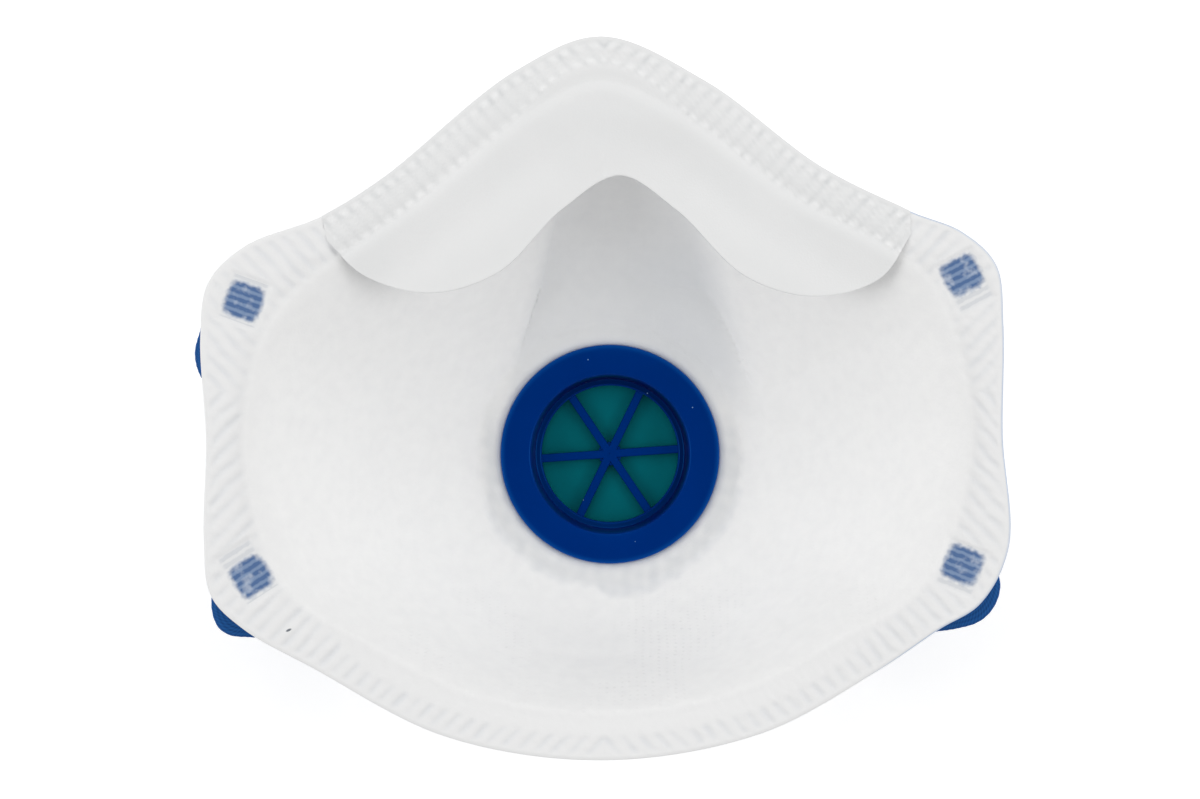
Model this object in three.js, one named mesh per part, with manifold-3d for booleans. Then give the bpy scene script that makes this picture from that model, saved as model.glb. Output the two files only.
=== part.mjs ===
// Moulded cup respirator with an exhalation valve, in millimetres, +Z up.
// It lies on the flat front of its valve cover and opens upwards, with the nose towards +Y.
// The origin is the centre of that flat front, on the valve's axis.
import * as THREE from 'three';
import { mergeVertices } from 'three/addons/utils/BufferGeometryUtils.js';
import Module from 'manifold-3d';

const wasm = await Module();
wasm.setup();

// Cloth walls.
const gap = 0.3;
const wallThickness = 2;
const flangeThickness = 1.2;
const panelThickness = 1.4;
const panelHeight = 9.5;
const panelRadius = 25;
const valveHoleRadius = 17;
const mouthDrop = 0.7;
const stepsPerStation = 3;

// How far in from the mouth to the valve's panel each ring of the wall lies.
const wallLevels = [0.07, 0.17, 0.3, 0.45, 0.62, 0.8, 1];

// Stations round the flange, from the nose towards the wearer's left. x, y, z is the flange's cut
// edge and mouthX, mouthY its inner edge, where the wall starts. fall is how early the wall drops.
const rimStations = [
  { at: 'nose_peak', x: -1.6, y: 76.6, z: 46, mouthX: -1.6, mouthY: 69, fall: 1.25 },
  { at: 'nose_left', x: -17.2, y: 70.3, z: 47, mouthX: -13, mouthY: 64.4, fall: 1.25 },
  { at: 'slope_left', x: -41.3, y: 50.5, z: 50, mouthX: -37, mouthY: 45.2, fall: 1.28 },
  { at: 'waist_left', x: -52.1, y: 43.7, z: 51.3, mouthX: -48.9, mouthY: 36.6, fall: 1.3 },
  { at: 'tab_upper_left_top', x: -66, y: 38.2, z: 52, mouthX: -55.5, mouthY: 31, fall: 1.3 },
  { at: 'tab_upper_left', x: -72.6, y: 31.6, z: 52, mouthX: -59.6, mouthY: 26.4, fall: 1.35 },
  { at: 'tab_upper_left_low', x: -74, y: 22, z: 52, mouthX: -63.4, mouthY: 20.4, fall: 1.4 },
  { at: 'side_left', x: -73, y: 3.3, z: 52, mouthX: -66.8, mouthY: 3.3, fall: 1.45 },
  { at: 'tab_lower_left_top', x: -73.4, y: -14.5, z: 51.8, mouthX: -63.4, mouthY: -13.4, fall: 1.5 },
  { at: 'tab_lower_left', x: -72.2, y: -24.8, z: 51.4, mouthX: -60.2, mouthY: -20.4, fall: 1.6 },
  { at: 'tab_lower_left_end', x: -66.5, y: -30.8, z: 51, mouthX: -55.6, mouthY: -26.8, fall: 1.7 },
  { at: 'chin_left', x: -54, y: -38, z: 50, mouthX: -49, mouthY: -31, fall: 1.8 },
  { at: 'chin_left_low', x: -29.9, y: -50.7, z: 48, mouthX: -26.3, mouthY: -42.6, fall: 2.1 },
  { at: 'chin', x: -1.2, y: -55.1, z: 47, mouthX: -1.2, mouthY: -46.6, fall: 2.3 },
  { at: 'chin_right_low', x: 27.1, y: -50.2, z: 48, mouthX: 23.7, mouthY: -42.3, fall: 2.1 },
  { at: 'chin_right', x: 48, y: -38.8, z: 49.6, mouthX: 43.7, mouthY: -31.8, fall: 1.8 },
  { at: 'tab_lower_right_end', x: 59.3, y: -31, z: 51, mouthX: 53.4, mouthY: -26.4, fall: 1.7 },
  { at: 'tab_lower_right', x: 66.8, y: -26.2, z: 51.4, mouthX: 58.2, mouthY: -20.3, fall: 1.6 },
  { at: 'tab_lower_right_top', x: 71.8, y: -16, z: 51.8, mouthX: 61.6, mouthY: -13.6, fall: 1.5 },
  { at: 'side_right', x: 70.7, y: 4.2, z: 52, mouthX: 65.8, mouthY: 4.4, fall: 1.45 },
  { at: 'tab_upper_right_low', x: 70.8, y: 24, z: 52, mouthX: 62.4, mouthY: 22.2, fall: 1.4 },
  { at: 'tab_upper_right', x: 69.5, y: 34.8, z: 52, mouthX: 58.6, mouthY: 30.2, fall: 1.35 },
  { at: 'tab_upper_right_top', x: 63.5, y: 40.7, z: 52, mouthX: 54.6, mouthY: 35, fall: 1.3 },
  { at: 'waist_right', x: 54, y: 44.6, z: 51.3, mouthX: 49.8, mouthY: 38.6, fall: 1.3 },
  { at: 'slope_right', x: 38, y: 52.7, z: 49.3, mouthX: 34, mouthY: 47.2, fall: 1.3 },
  { at: 'nose_right', x: 17.2, y: 68.4, z: 47, mouthX: 12.6, mouthY: 63, fall: 1.25 },
];

// The nose bridge's channel, pressed outwards between the cheeks and as wide as the valve.
const channel = {
  depth: 3.4, flatness: 0.25, yLow: 12, yHigh: 44, fadeLow: 8, fadeHigh: 14,
  leftLow: -20, leftHigh: -12, leftSoftness: 1.8,
  rightLow: 27, rightHigh: 18, rightSoftness: 3.6,
};

// The deepest dent, as a share of the wall's height over the valve's panel.
const deepestDent = 0.6;

// Soft dents of the cup's wall, each along a straight line on its plan.
const folds = [
  { name: 'left_outer', x1: -53, y1: 13, x2: -54, y2: -16, depth: 0.5, width: 1.8 },
  { name: 'left_inner', x1: -43, y1: 10, x2: -42.5, y2: -16, depth: 0.5, width: 2.2 },
  { name: 'right_outer', x1: 50, y1: 12, x2: 52, y2: -14, depth: 0.6, width: 1.8 },
  { name: 'right_diagonal', x1: 51, y1: 23, x2: 29, y2: 11, depth: 1.1, width: 3 },
  { name: 'chin_wave', x1: -8, y1: -37, x2: 32, y2: -36, depth: 0.8, width: 2.4 },
];

// Nose seal: its free edge, from the wearer's right end over the notch to the left one.
const sealThickness = 1.4;
const sealFlangeThickness = 0.9;
const sealGap = 0.55;
const sealHang = 0.13;
const sealHangPower = 1.2;
const sealSteps = 42;
const sealCrossSteps = [0, 0.2, 0.4, 0.6, 0.8, 1];
const nearSamples = 156;
const sealEdge = [
  { at: 'end_right', x: 54.2, y: 40.4 },
  { at: 'lobe_right_outer', x: 48.6, y: 32.4 },
  { at: 'lobe_right', x: 36.8, y: 29.4 },
  { at: 'lobe_right_inner', x: 24.5, y: 33.2 },
  { at: 'notch_right', x: 12, y: 45.4 },
  { at: 'notch', x: 1.6, y: 51.8 },
  { at: 'notch_left', x: -8.8, y: 45.6 },
  { at: 'lobe_left_inner', x: -20.6, y: 33.8 },
  { at: 'lobe_left', x: -32.9, y: 30 },
  { at: 'lobe_left_outer', x: -44.6, y: 33 },
  { at: 'end_left', x: -51.2, y: 39.2 },
];

// Valve: a seat that passes through the panel, and a cover that clips on from outside.
const seatRadius = 21.2;
const seatFaceHeight = 13;
const seatFaceInnerRadius = 15.4;
const ledgeHeight = 8.8;
const ledgeOuterRadius = 14.6;
const portRadius = 13.3;
const sleeveRadius = 16.4;
const sleeveEndHeight = 6.2;
const spokeCount = 6;
const spokeWidth = 1.6;
const spokeHeight = 1.8;
const spokeStartAngle = THREE.MathUtils.degToRad(4);
const hubRadius = 2.4;
const diaphragmRadius = 14.4;
const diaphragmThickness = 0.6;
const coverRadius = 20.4;
const coverWall = 1.5;
const coverEdgeBevel = 2.4;
const coverTopHeight = panelHeight - panelThickness / 2 - gap;
const ventCount = 12;
const ventWidth = 5;
const ventLowHeight = 3.2;
const ventHighHeight = 6.2;

// Straps: flat elastic. Each route runs from weld to weld, under the flange and over the floor.
const strapWidth = 6;
const strapThickness = 1;
const strapCorner = 0.25;
const strapSteps = 78;
const strapSmoothing = 3;
const floorHeight = 0.65;
const strapUpperRoute = [
  [-66.4, 28.5, 50.1], [-68.8, 29.3, 50.1], [-70.6, 28.6, 49.5], [-71.2, 26.2, 48.1],
  [-71.9, 22.6, 46.3], [-73.1, 19, 44], [-72.8, 16, 40.6], [-70.7, 13.2, 33.6],
  [-66.8, 12, 24], [-63.6, 12, 14.6], [-60, 13.6, 6.4], [-54, 17, 1.6], [-46, 22.4, floorHeight],
  [-36, 34, floorHeight], [-23, 46.6, floorHeight], [-7, 53.4, floorHeight], [9, 53.2, floorHeight],
  [24, 46.8, floorHeight], [36, 36, floorHeight], [45, 26.4, floorHeight], [51, 20.6, 1.4],
  [56.4, 17.6, 5.4], [60.4, 16.6, 13], [62.6, 17, 23], [64, 19, 32.6], [65.2, 22.4, 40.4],
  [66.2, 26.4, 45.4], [66.6, 29.8, 47.9], [66, 32.4, 49.5], [64.8, 33.4, 50.1], [63.4, 32.9, 50.1],
];
const strapLowerRoute = [
  [-65.1, -21.5, 49.4], [-67.8, -23, 49.4], [-69.2, -24.7, 48.9], [-69.5, -27.2, 48.1],
  [-68.7, -29.4, 47.2], [-65.6, -29.9, 45.8], [-61.4, -30.2, 42.4], [-57.2, -31.2, 36],
  [-54.4, -32, 27], [-52, -32.8, 17], [-49, -34, 7.6], [-44, -36.4, 1.8], [-37.4, -40.6, floorHeight],
  [-26, -47, floorHeight], [-11, -51.6, floorHeight], [4, -52.2, floorHeight],
  [19, -49.6, floorHeight], [32.4, -43.2, floorHeight], [40.8, -37.6, 1.6], [46.4, -34.2, 7],
  [49.8, -32.4, 16.6], [52.2, -31.2, 27], [55, -30.4, 36], [58.7, -29.2, 42.4], [62.4, -28.4, 45.6],
  [65.6, -27.3, 47.1], [67.2, -25.4, 48.1], [67.7, -22.9, 48.9], [66.6, -20.7, 49.4],
  [63.8, -19.3, 49.4],
];

const white = { color: 0xf1f3f6, roughness: 0.9, metalness: 0 };
const finishes = {
  nonwoven: white,
  seal: { color: 0xf4f5f7, roughness: 0.95, metalness: 0 },
  blueMoulding: { color: 0x0a3f94, roughness: 0.4, metalness: 0 },
  silicone: { color: 0x0a6a72, roughness: 0.5, metalness: 0 },
  elastic: { color: 0x1d4f97, roughness: 0.8, metalness: 0 },
};

function node(name, geometry, finish) {
  const mesh = new THREE.Mesh(geometry, new THREE.MeshStandardMaterial(finishes[finish]));
  mesh.name = name;
  return mesh;
}

function toSolid(geometry) {
  const bare = geometry.clone();
  bare.deleteAttribute('normal');
  bare.deleteAttribute('uv');
  const merged = mergeVertices(bare, 1e-3);
  return new wasm.Manifold(new wasm.Mesh({
    numProp: 3,
    vertProperties: merged.attributes.position.array,
    triVerts: new Uint32Array(merged.index.array),
  }));
}

function toGeometry(solid) {
  const mesh = solid.getMesh();
  const geometry = new THREE.BufferGeometry();
  geometry.setAttribute('position', new THREE.BufferAttribute(mesh.vertProperties, 3));
  geometry.setIndex(new THREE.BufferAttribute(mesh.triVerts, 1));
  return geometry;
}

// A closed wall between two grids of points, whose rows run side by side. A ring has no ends.
function wallBetween(front, back, isRing) {
  const rows = front.length;
  const columns = front[0].length;
  const points = [...front.flat(), ...back.flat()];
  const index = [];
  const frontAt = (row, column) => (row % rows) * columns + column;
  const backAt = (row, column) => rows * columns + frontAt(row, column);
  const quad = (a, b, c, d) => index.push(a, b, c, a, c, d);
  const strips = isRing ? rows : rows - 1;
  const last = columns - 1;
  for (let i = 0; i < strips; i += 1) {
    for (let j = 0; j < last; j += 1) {
      quad(frontAt(i, j), frontAt(i + 1, j), frontAt(i + 1, j + 1), frontAt(i, j + 1));
      quad(backAt(i, j), backAt(i, j + 1), backAt(i + 1, j + 1), backAt(i + 1, j));
    }
    quad(frontAt(i, 0), backAt(i, 0), backAt(i + 1, 0), frontAt(i + 1, 0));
    quad(frontAt(i, last), frontAt(i + 1, last), backAt(i + 1, last), backAt(i, last));
  }
  for (let j = 0; j < last && !isRing; j += 1) {
    quad(frontAt(0, j), frontAt(0, j + 1), backAt(0, j + 1), backAt(0, j));
    quad(frontAt(rows - 1, j), backAt(rows - 1, j), backAt(rows - 1, j + 1), frontAt(rows - 1, j + 1));
  }
  const geometry = new THREE.BufferGeometry().setFromPoints(points);
  geometry.setIndex(index);
  return geometry;
}

const rimCurve = new THREE.CatmullRomCurve3(
  rimStations.map(({ x, y, z }) => new THREE.Vector3(x, y, z)), true, 'centripetal');
const mouthCurve = new THREE.CatmullRomCurve3(
  rimStations.map(({ mouthX, mouthY, z }) => new THREE.Vector3(mouthX, mouthY, z - mouthDrop)),
  true, 'centripetal');

const blend = THREE.MathUtils.lerp;
const rise = (value, low, high) => THREE.MathUtils.smoothstep(value, low, high);

function fallAt(around) {
  const place = around * rimStations.length;
  const first = rimStations[Math.floor(place) % rimStations.length];
  const second = rimStations[(Math.floor(place) + 1) % rimStations.length];
  return blend(first.fall, second.fall, place - Math.floor(place));
}

function channelDepth(x, y) {
  const up = (y - channel.yLow) / (channel.yHigh - channel.yLow);
  const left = blend(channel.leftLow, channel.leftHigh, up);
  const right = blend(channel.rightLow, channel.rightHigh, up);
  const across = rise(x, left - channel.leftSoftness, left + channel.leftSoftness)
    * (1 - rise(x, right - channel.rightSoftness, right + channel.rightSoftness));
  const along = rise(y, channel.yLow - channel.fadeLow, channel.yLow + channel.fadeLow)
    * (1 - rise(y, channel.yHigh, channel.yHigh + channel.fadeHigh));
  const flattened = channel.flatness * Math.min(x * x, 500) / Math.max(y, 16);
  return (channel.depth + flattened) * across * along;
}

function foldDepth(x, y) {
  let depth = 0;
  for (const fold of folds) {
    const dx = fold.x2 - fold.x1;
    const dy = fold.y2 - fold.y1;
    const share = ((x - fold.x1) * dx + (y - fold.y1) * dy) / (dx * dx + dy * dy);
    const near = THREE.MathUtils.clamp(share, 0, 1);
    const away = Math.hypot(x - fold.x1 - near * dx, y - fold.y1 - near * dy);
    depth += fold.depth * Math.exp(-((away / fold.width) ** 2));
  }
  return depth;
}

// A point of the cup's middle surface. around goes once round the rim from 0 to 1. level goes from
// 0 at the cut edge over 1 at the mouth and 2 at the panel's edge to 3 at the valve's hole.
function cupPoint(around, level) {
  const mouth = mouthCurve.getPoint(around);
  if (level <= 1) return rimCurve.getPoint(around).lerp(mouth, level);
  const angle = Math.atan2(mouth.y, mouth.x);
  const panel = new THREE.Vector3(Math.cos(angle), Math.sin(angle), 0);
  if (level >= 2) {
    const radius = blend(panelRadius, valveHoleRadius, level - 2);
    return panel.multiplyScalar(radius).setZ(panelHeight);
  }
  const inward = level - 1;
  const point = panel.multiplyScalar(panelRadius).lerp(mouth, 1 - inward);
  const drop = 1 - (1 - inward) ** fallAt(around);
  const onWall = rise(inward, 0, 0.25) * (1 - rise(inward, 0.75, 1));
  const dents = onWall * (channelDepth(point.x, point.y) + foldDepth(point.x, point.y));
  const plainHeight = blend(mouth.z, panelHeight, drop);
  return point.setZ(plainHeight - Math.min(dents, deepestDent * (plainHeight - panelHeight)));
}

function cupNormal(around, level) {
  const small = 0.002;
  const low = Math.max(level - small, 0);
  const high = Math.min(level + small, 3);
  const along = cupPoint((around + small) % 1, level).sub(cupPoint((around + 1 - small) % 1, level));
  const inward = cupPoint(around, high).sub(cupPoint(around, low));
  return along.cross(inward).normalize();
}

function cupShell() {
  const levels = [0, 0.5, 1, ...wallLevels.map((inward) => 1 + inward), 2.5, 3];
  const stations = rimStations.length * stepsPerStation;
  const front = [];
  const back = [];
  for (let i = 0; i < stations; i += 1) {
    const around = i / stations;
    const inside = [];
    const outside = [];
    for (const level of levels) {
      const toWall = blend(flangeThickness, wallThickness, rise(level, 0.9, 1.2));
      const thickness = blend(toWall, panelThickness, rise(level, 1.8, 2));
      const middle = cupPoint(around, level);
      const half = cupNormal(around, level).multiplyScalar(thickness / 2);
      inside.push(middle.clone().add(half));
      outside.push(middle.clone().sub(half));
    }
    front.push(inside);
    back.push(outside);
  }
  return wallBetween(front, back, true);
}

// The height of the flange's middle at a plan point. Inside the mouth the seal hangs from it.
function sealMiddle(x, y) {
  let nearest = { away: Infinity };
  for (let i = 0; i < nearSamples; i += 1) {
    for (const level of [0, 0.5, 1]) {
      const point = cupPoint(i / nearSamples, level);
      const away = Math.hypot(point.x - x, point.y - y);
      if (away < nearest.away) nearest = { away, point, level };
    }
  }
  const { away, point, level } = nearest;
  const isFree = level === 1 && Math.hypot(x, y) < Math.hypot(point.x, point.y);
  return point.z - (isFree ? sealHang * away ** sealHangPower : 0);
}

// The seal lies on the flange between the two waists and goes on over the mouth as a free flap.
function noseSeal() {
  const waist = rimStations.findIndex(({ at }) => at === 'waist_left');
  const span = waist / rimStations.length;
  const edgeCurve = new THREE.CatmullRomCurve3(
    sealEdge.map(({ x, y }) => new THREE.Vector3(x, y, 0)), false, 'centripetal');
  const front = [];
  const back = [];
  for (let i = 0; i <= sealSteps; i += 1) {
    const share = i / sealSteps;
    const rim = rimCurve.getPoint((blend(-span, span, share) + 1) % 1);
    const edge = edgeCurve.getPoint(share);
    const upper = [];
    const lower = [];
    for (const across of sealCrossSteps) {
      const x = blend(rim.x, edge.x, across);
      const y = blend(rim.y, edge.y, across);
      const bottom = sealMiddle(x, y) + flangeThickness / 2 + sealGap;
      const thickness = blend(sealFlangeThickness, sealThickness, rise(across, 0.2, 0.5));
      upper.push(new THREE.Vector3(x, y, bottom + thickness));
      lower.push(new THREE.Vector3(x, y, bottom));
    }
    front.push(upper);
    back.push(lower);
  }
  return wallBetween(front, back, false);
}

// A turned piece on the valve's axis. The profile's [radius, height] pairs go anticlockwise.
function turned(profile, segments) {
  const corners = profile.map(([radius, height]) => new THREE.Vector2(radius, height));
  return new THREE.LatheGeometry(corners, segments).rotateX(Math.PI / 2);
}

function valveSeat() {
  const underside = panelHeight + panelThickness / 2 + gap;
  const rounding = 0.6;
  let seat = toSolid(turned([
    [portRadius, sleeveEndHeight], [sleeveRadius, sleeveEndHeight], [sleeveRadius, underside],
    [seatRadius, underside], [seatRadius, seatFaceHeight - rounding],
    [seatRadius - rounding, seatFaceHeight], [seatFaceInnerRadius, seatFaceHeight],
    [ledgeOuterRadius, ledgeHeight], [portRadius, ledgeHeight], [portRadius, sleeveEndHeight],
  ], 60));
  const spokeLength = portRadius + 0.6;
  const spokeMiddle = sleeveEndHeight + spokeHeight / 2;
  for (let i = 0; i < spokeCount; i += 1) {
    const spoke = new THREE.BoxGeometry(spokeLength, spokeWidth, spokeHeight);
    spoke.translate(spokeLength / 2, 0, spokeMiddle);
    spoke.rotateZ(spokeStartAngle + (i * 2 * Math.PI) / spokeCount);
    seat = seat.add(toSolid(spoke));
  }
  const hub = new THREE.CylinderGeometry(hubRadius, hubRadius, spokeHeight, 6);
  hub.rotateX(Math.PI / 2).rotateZ(spokeStartAngle).translate(0, 0, spokeMiddle);
  return toGeometry(seat.add(toSolid(hub)));
}

function valveDiaphragm() {
  const top = sleeveEndHeight - gap;
  return turned([[0, top - diaphragmThickness], [diaphragmRadius, top - diaphragmThickness],
    [diaphragmRadius, top], [0, top]], 48);
}

function valveCover() {
  const lipInner = sleeveRadius + gap + 0.1;
  const lipHeight = 1.3;
  const inner = coverRadius - coverWall;
  const flatRadius = coverRadius - coverEdgeBevel;
  let cover = toSolid(turned([
    [0, 0], [flatRadius, 0], [coverRadius, coverEdgeBevel], [coverRadius, coverTopHeight],
    [lipInner, coverTopHeight], [lipInner, coverTopHeight - lipHeight],
    [inner, coverTopHeight - lipHeight], [inner, coverEdgeBevel + coverWall / 2],
    [flatRadius, coverWall], [0, coverWall],
  ], 48));
  for (let i = 0; i < ventCount; i += 1) {
    const vent = new THREE.BoxGeometry(3 * coverWall, ventWidth, ventHighHeight - ventLowHeight);
    vent.translate(coverRadius - coverWall / 2, 0, (ventLowHeight + ventHighHeight) / 2);
    vent.rotateZ(((i + 0.5) * 2 * Math.PI) / ventCount);
    cover = cover.subtract(toSolid(vent));
  }
  return toGeometry(cover);
}

// Frames that keep a flat band's width level: it lies flat on the floor and hangs square.
function levelFrames(path, steps) {
  const tangents = [];
  let widths = [];
  for (let i = 0; i <= steps; i += 1) {
    const tangent = path.getTangentAt(i / steps);
    const width = new THREE.Vector3(tangent.y, -tangent.x, 0);
    if (i > 0 && width.dot(widths[i - 1]) < 0) width.negate();
    tangents.push(tangent);
    widths.push(width);
  }
  for (let pass = 0; pass < strapSmoothing; pass += 1) {
    widths = widths.map((width, i) => width.clone()
      .add(widths[Math.max(i - 1, 0)])
      .add(widths[Math.min(i + 1, steps)]));
  }
  const normals = tangents.map((tangent, i) => tangent.clone().cross(widths[i]).normalize());
  const binormals = tangents.map((tangent, i) => tangent.clone().cross(normals[i]).normalize());
  return { tangents, normals, binormals };
}

function strap(route) {
  const path = new THREE.CatmullRomCurve3(
    route.map((point) => new THREE.Vector3(...point)), false, 'centripetal');
  path.computeFrenetFrames = (steps) => levelFrames(path, steps);
  const thick = strapThickness / 2;
  const wide = strapWidth / 2;
  const section = new THREE.Shape([
    [thick, wide - strapCorner], [thick - strapCorner, wide],
    [strapCorner - thick, wide], [-thick, wide - strapCorner],
    [-thick, strapCorner - wide], [strapCorner - thick, -wide],
    [thick - strapCorner, -wide], [thick, strapCorner - wide],
  ].map(([x, y]) => new THREE.Vector2(x, y)));
  return new THREE.ExtrudeGeometry(section, { steps: strapSteps, extrudePath: path });
}

const mask = new THREE.Group();
mask.add(
  node('cup_shell', cupShell(), 'nonwoven'),
  node('nose_seal', noseSeal(), 'seal'),
  node('valve_seat', valveSeat(), 'blueMoulding'),
  node('valve_diaphragm', valveDiaphragm(), 'silicone'),
  node('valve_cover', valveCover(), 'blueMoulding'),
  node('strap_upper', strap(strapUpperRoute), 'elastic'),
  node('strap_lower', strap(strapLowerRoute), 'elastic'),
);

export default mask;
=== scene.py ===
"""Moulded cup respirator, seen into its inside as it lies on its front: its looks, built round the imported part."""
import bpy
import math
import numpy as np
from mathutils import Matrix, Vector
from mathutils.kdtree import KDTree


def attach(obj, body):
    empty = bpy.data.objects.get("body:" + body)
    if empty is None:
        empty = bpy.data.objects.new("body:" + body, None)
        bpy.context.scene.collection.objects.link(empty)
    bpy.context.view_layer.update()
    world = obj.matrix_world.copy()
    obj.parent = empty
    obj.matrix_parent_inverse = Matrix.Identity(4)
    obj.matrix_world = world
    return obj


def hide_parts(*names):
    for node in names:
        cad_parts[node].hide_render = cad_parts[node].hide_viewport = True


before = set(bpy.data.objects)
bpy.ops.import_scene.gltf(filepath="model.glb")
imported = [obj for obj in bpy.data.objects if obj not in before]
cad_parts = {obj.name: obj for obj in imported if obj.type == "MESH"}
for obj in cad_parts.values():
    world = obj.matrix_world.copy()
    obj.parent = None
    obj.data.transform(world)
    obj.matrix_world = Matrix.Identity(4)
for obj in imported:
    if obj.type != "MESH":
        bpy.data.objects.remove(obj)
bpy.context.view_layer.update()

MM = 0.001

# ---------------------------------------------------------------------------------------------
# Sizes, in millimetres. The cloth's tables follow the part's own, so that each piece lies where
# its solid does, and some of its folds are finer.
# ---------------------------------------------------------------------------------------------

WALL_THICKNESS = 2.0
FLANGE_THICKNESS = 1.2
PANEL_THICKNESS = 1.4
PANEL_HEIGHT = 9.5
PANEL_RADIUS = 25.0
VALVE_HOLE_RADIUS = 17.0
MOUTH_DROP = 0.7

# Stations round the flange, from the nose towards the wearer's left. x, y, z is the flange's cut
# edge and mouth_x, mouth_y its inner edge, where the wall starts. fall is how early the wall drops.
RIM_COLUMNS = ("x", "y", "z", "mouth_x", "mouth_y", "fall")
RIM_STATIONS = {
    "nose_peak": (-1.6, 76.6, 46, -1.6, 69, 1.25),
    "nose_left": (-17.2, 70.3, 47, -13, 64.4, 1.25),
    "slope_left": (-41.3, 50.5, 50, -37, 45.2, 1.28),
    "waist_left": (-52.1, 43.7, 51.3, -48.9, 36.6, 1.3),
    "tab_upper_left_top": (-66, 38.2, 52, -55.5, 31, 1.3),
    "tab_upper_left": (-72.6, 31.6, 52, -59.6, 26.4, 1.35),
    "tab_upper_left_low": (-74, 22, 52, -63.4, 20.4, 1.4),
    "side_left": (-73, 3.3, 52, -66.8, 3.3, 1.45),
    "tab_lower_left_top": (-73.4, -14.5, 51.8, -63.4, -13.4, 1.5),
    "tab_lower_left": (-72.2, -24.8, 51.4, -60.2, -20.4, 1.6),
    "tab_lower_left_end": (-66.5, -30.8, 51, -55.6, -26.8, 1.7),
    "chin_left": (-54, -38, 50, -49, -31, 1.8),
    "chin_left_low": (-29.9, -50.7, 48, -26.3, -42.6, 2.1),
    "chin": (-1.2, -55.1, 47, -1.2, -46.6, 2.3),
    "chin_right_low": (27.1, -50.2, 48, 23.7, -42.3, 2.1),
    "chin_right": (48, -38.8, 49.6, 43.7, -31.8, 1.8),
    "tab_lower_right_end": (59.3, -31, 51, 53.4, -26.4, 1.7),
    "tab_lower_right": (66.8, -26.2, 51.4, 58.2, -20.3, 1.6),
    "tab_lower_right_top": (71.8, -16, 51.8, 61.6, -13.6, 1.5),
    "side_right": (70.7, 4.2, 52, 65.8, 4.4, 1.45),
    "tab_upper_right_low": (70.8, 24, 52, 62.4, 22.2, 1.4),
    "tab_upper_right": (69.5, 34.8, 52, 58.6, 30.2, 1.35),
    "tab_upper_right_top": (63.5, 40.7, 52, 54.6, 35, 1.3),
    "waist_right": (54, 44.6, 51.3, 49.8, 38.6, 1.3),
    "slope_right": (38, 52.7, 49.3, 34, 47.2, 1.3),
    "nose_right": (17.2, 68.4, 47, 12.6, 63, 1.25),
}

# The nose bridge's channel, pressed outwards between the cheeks and as wide as the valve.
CHANNEL = {
    "depth": 3.4, "flatness": 0.25, "y_low": 12, "y_high": 44, "fade_low": 8, "fade_high": 14,
    "left_low": -20, "left_high": -12, "left_softness": 1.1,
    "right_low": 27, "right_high": 18, "right_softness": 3.6,
}

# The deepest dent, as a share of the wall's height over the valve's panel.
DEEPEST_DENT = 0.6

# Soft dents of the cup's wall, each along a line on its plan, bowed sideways by bow. A negative
# depth is a raised fold.
FOLD_COLUMNS = ("x1", "y1", "x2", "y2", "bow", "depth", "width")
FOLDS = {
    "left_outer": (-53, 13, -54, -16, 0, 0.5, 1.8),
    "left_inner": (-43, 10, -42.5, -16, 0, 0.5, 2.2),
    "right_outer": (50, 12, 52, -14, 0, 0.6, 1.8),
    "right_diagonal": (51, 23, 29, 11, 0, 1.1, 3),
    "chin_wave": (-15, -38.4, 13, -38.6, 0.6, 0.65, 1.2),
    "chin_wave_right": (13, -38.6, 24, -32, 0, 0.35, 1.6),
    "chin_branch": (-6.5, -39.5, -13, -46.4, 0.8, 0.45, 1.0),
}

# The seal's free edge, from the wearer's right end over the notch to the left one.
SEAL_THICKNESS = 1.4
SEAL_FLANGE_THICKNESS = 0.9
SEAL_GAP = 0.15
SEAL_DISH = 0.7
SEAL_NOSE_DROP = 2.6
SEAL_WELD_DEPTH = 0.5
SEAL_SPAN = 150.0
SEAL_END_SAG = 14.0
SEAL_HANG = 0.13
SEAL_HANG_POWER = 1.2
SEAL_EDGE = {
    "end_right": (54.2, 40.4),
    "lobe_right_outer": (48.6, 32.4),
    "lobe_right": (36.8, 29.4),
    "lobe_right_inner": (24.5, 33.2),
    "notch_right": (12, 45.4),
    "notch": (1.6, 51.8),
    "notch_left": (-8.8, 45.6),
    "lobe_left_inner": (-20.6, 33.8),
    "lobe_left": (-32.9, 30),
    "lobe_left_outer": (-44.6, 33),
    "end_left": (-51.2, 39.2),
}

# The crimp of the flange: slanted grooves, mirrored about the two lines where they meet.
GROOVE_PITCH = 2.45
GROOVE_ANGLE = math.radians(47)
GROOVE_MIDDLE_X = -1.2
GROOVE_MIDDLE_Y = 12.0
GROOVE_DEPTH = 0.26
GROOVE_NARROWNESS = 1.7
SMOOTH_STRIP = 0.9
CHIN_SHOULDER = 3.6
BLUE_EDGE_WIDTH = 0.35

# The cloth puffs up a little where the valve's seat clamps it.
PUFF_HEIGHT = 1.3

# Strap welds on the flange. turn is the bars' angle, and low and high are how far the pressed
# bars reach across the strap's run.
WELD_COLUMNS = ("x", "y", "turn", "low", "high")
WELDS = {
    "upper_left": (-66.2, 28.3, -20, -3.9, 4.2),
    "lower_left": (-65.0, -21.4, 33, -3.9, 5.9),
    "upper_right": (63.4, 33.0, 28, -5.9, 3.4),
    "lower_right": (63.6, -19.3, -21, -4.6, 3.4),
}
WELD_LENGTH = 6.3
WELD_BAR_PITCH = 1.33

# How far from the valve's axis the pressed band round the ring reaches, by its angle in degrees.
BAND_REACH = (
    (-180, 24.8), (-160, 26.0), (-152, 27.2), (-142, 27.2), (-130, 26.7), (-124, 27.3),
    (-109, 26.7), (-97, 26.0), (-90, 28.5), (-82, 28.4), (-69, 28.0), (-52, 27.0), (-29, 27.2),
    (0, 25.7), (20, 25.5), (60, 24.5), (100, 24.0), (140, 25.0), (164, 25.7), (180, 24.8),
)

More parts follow.
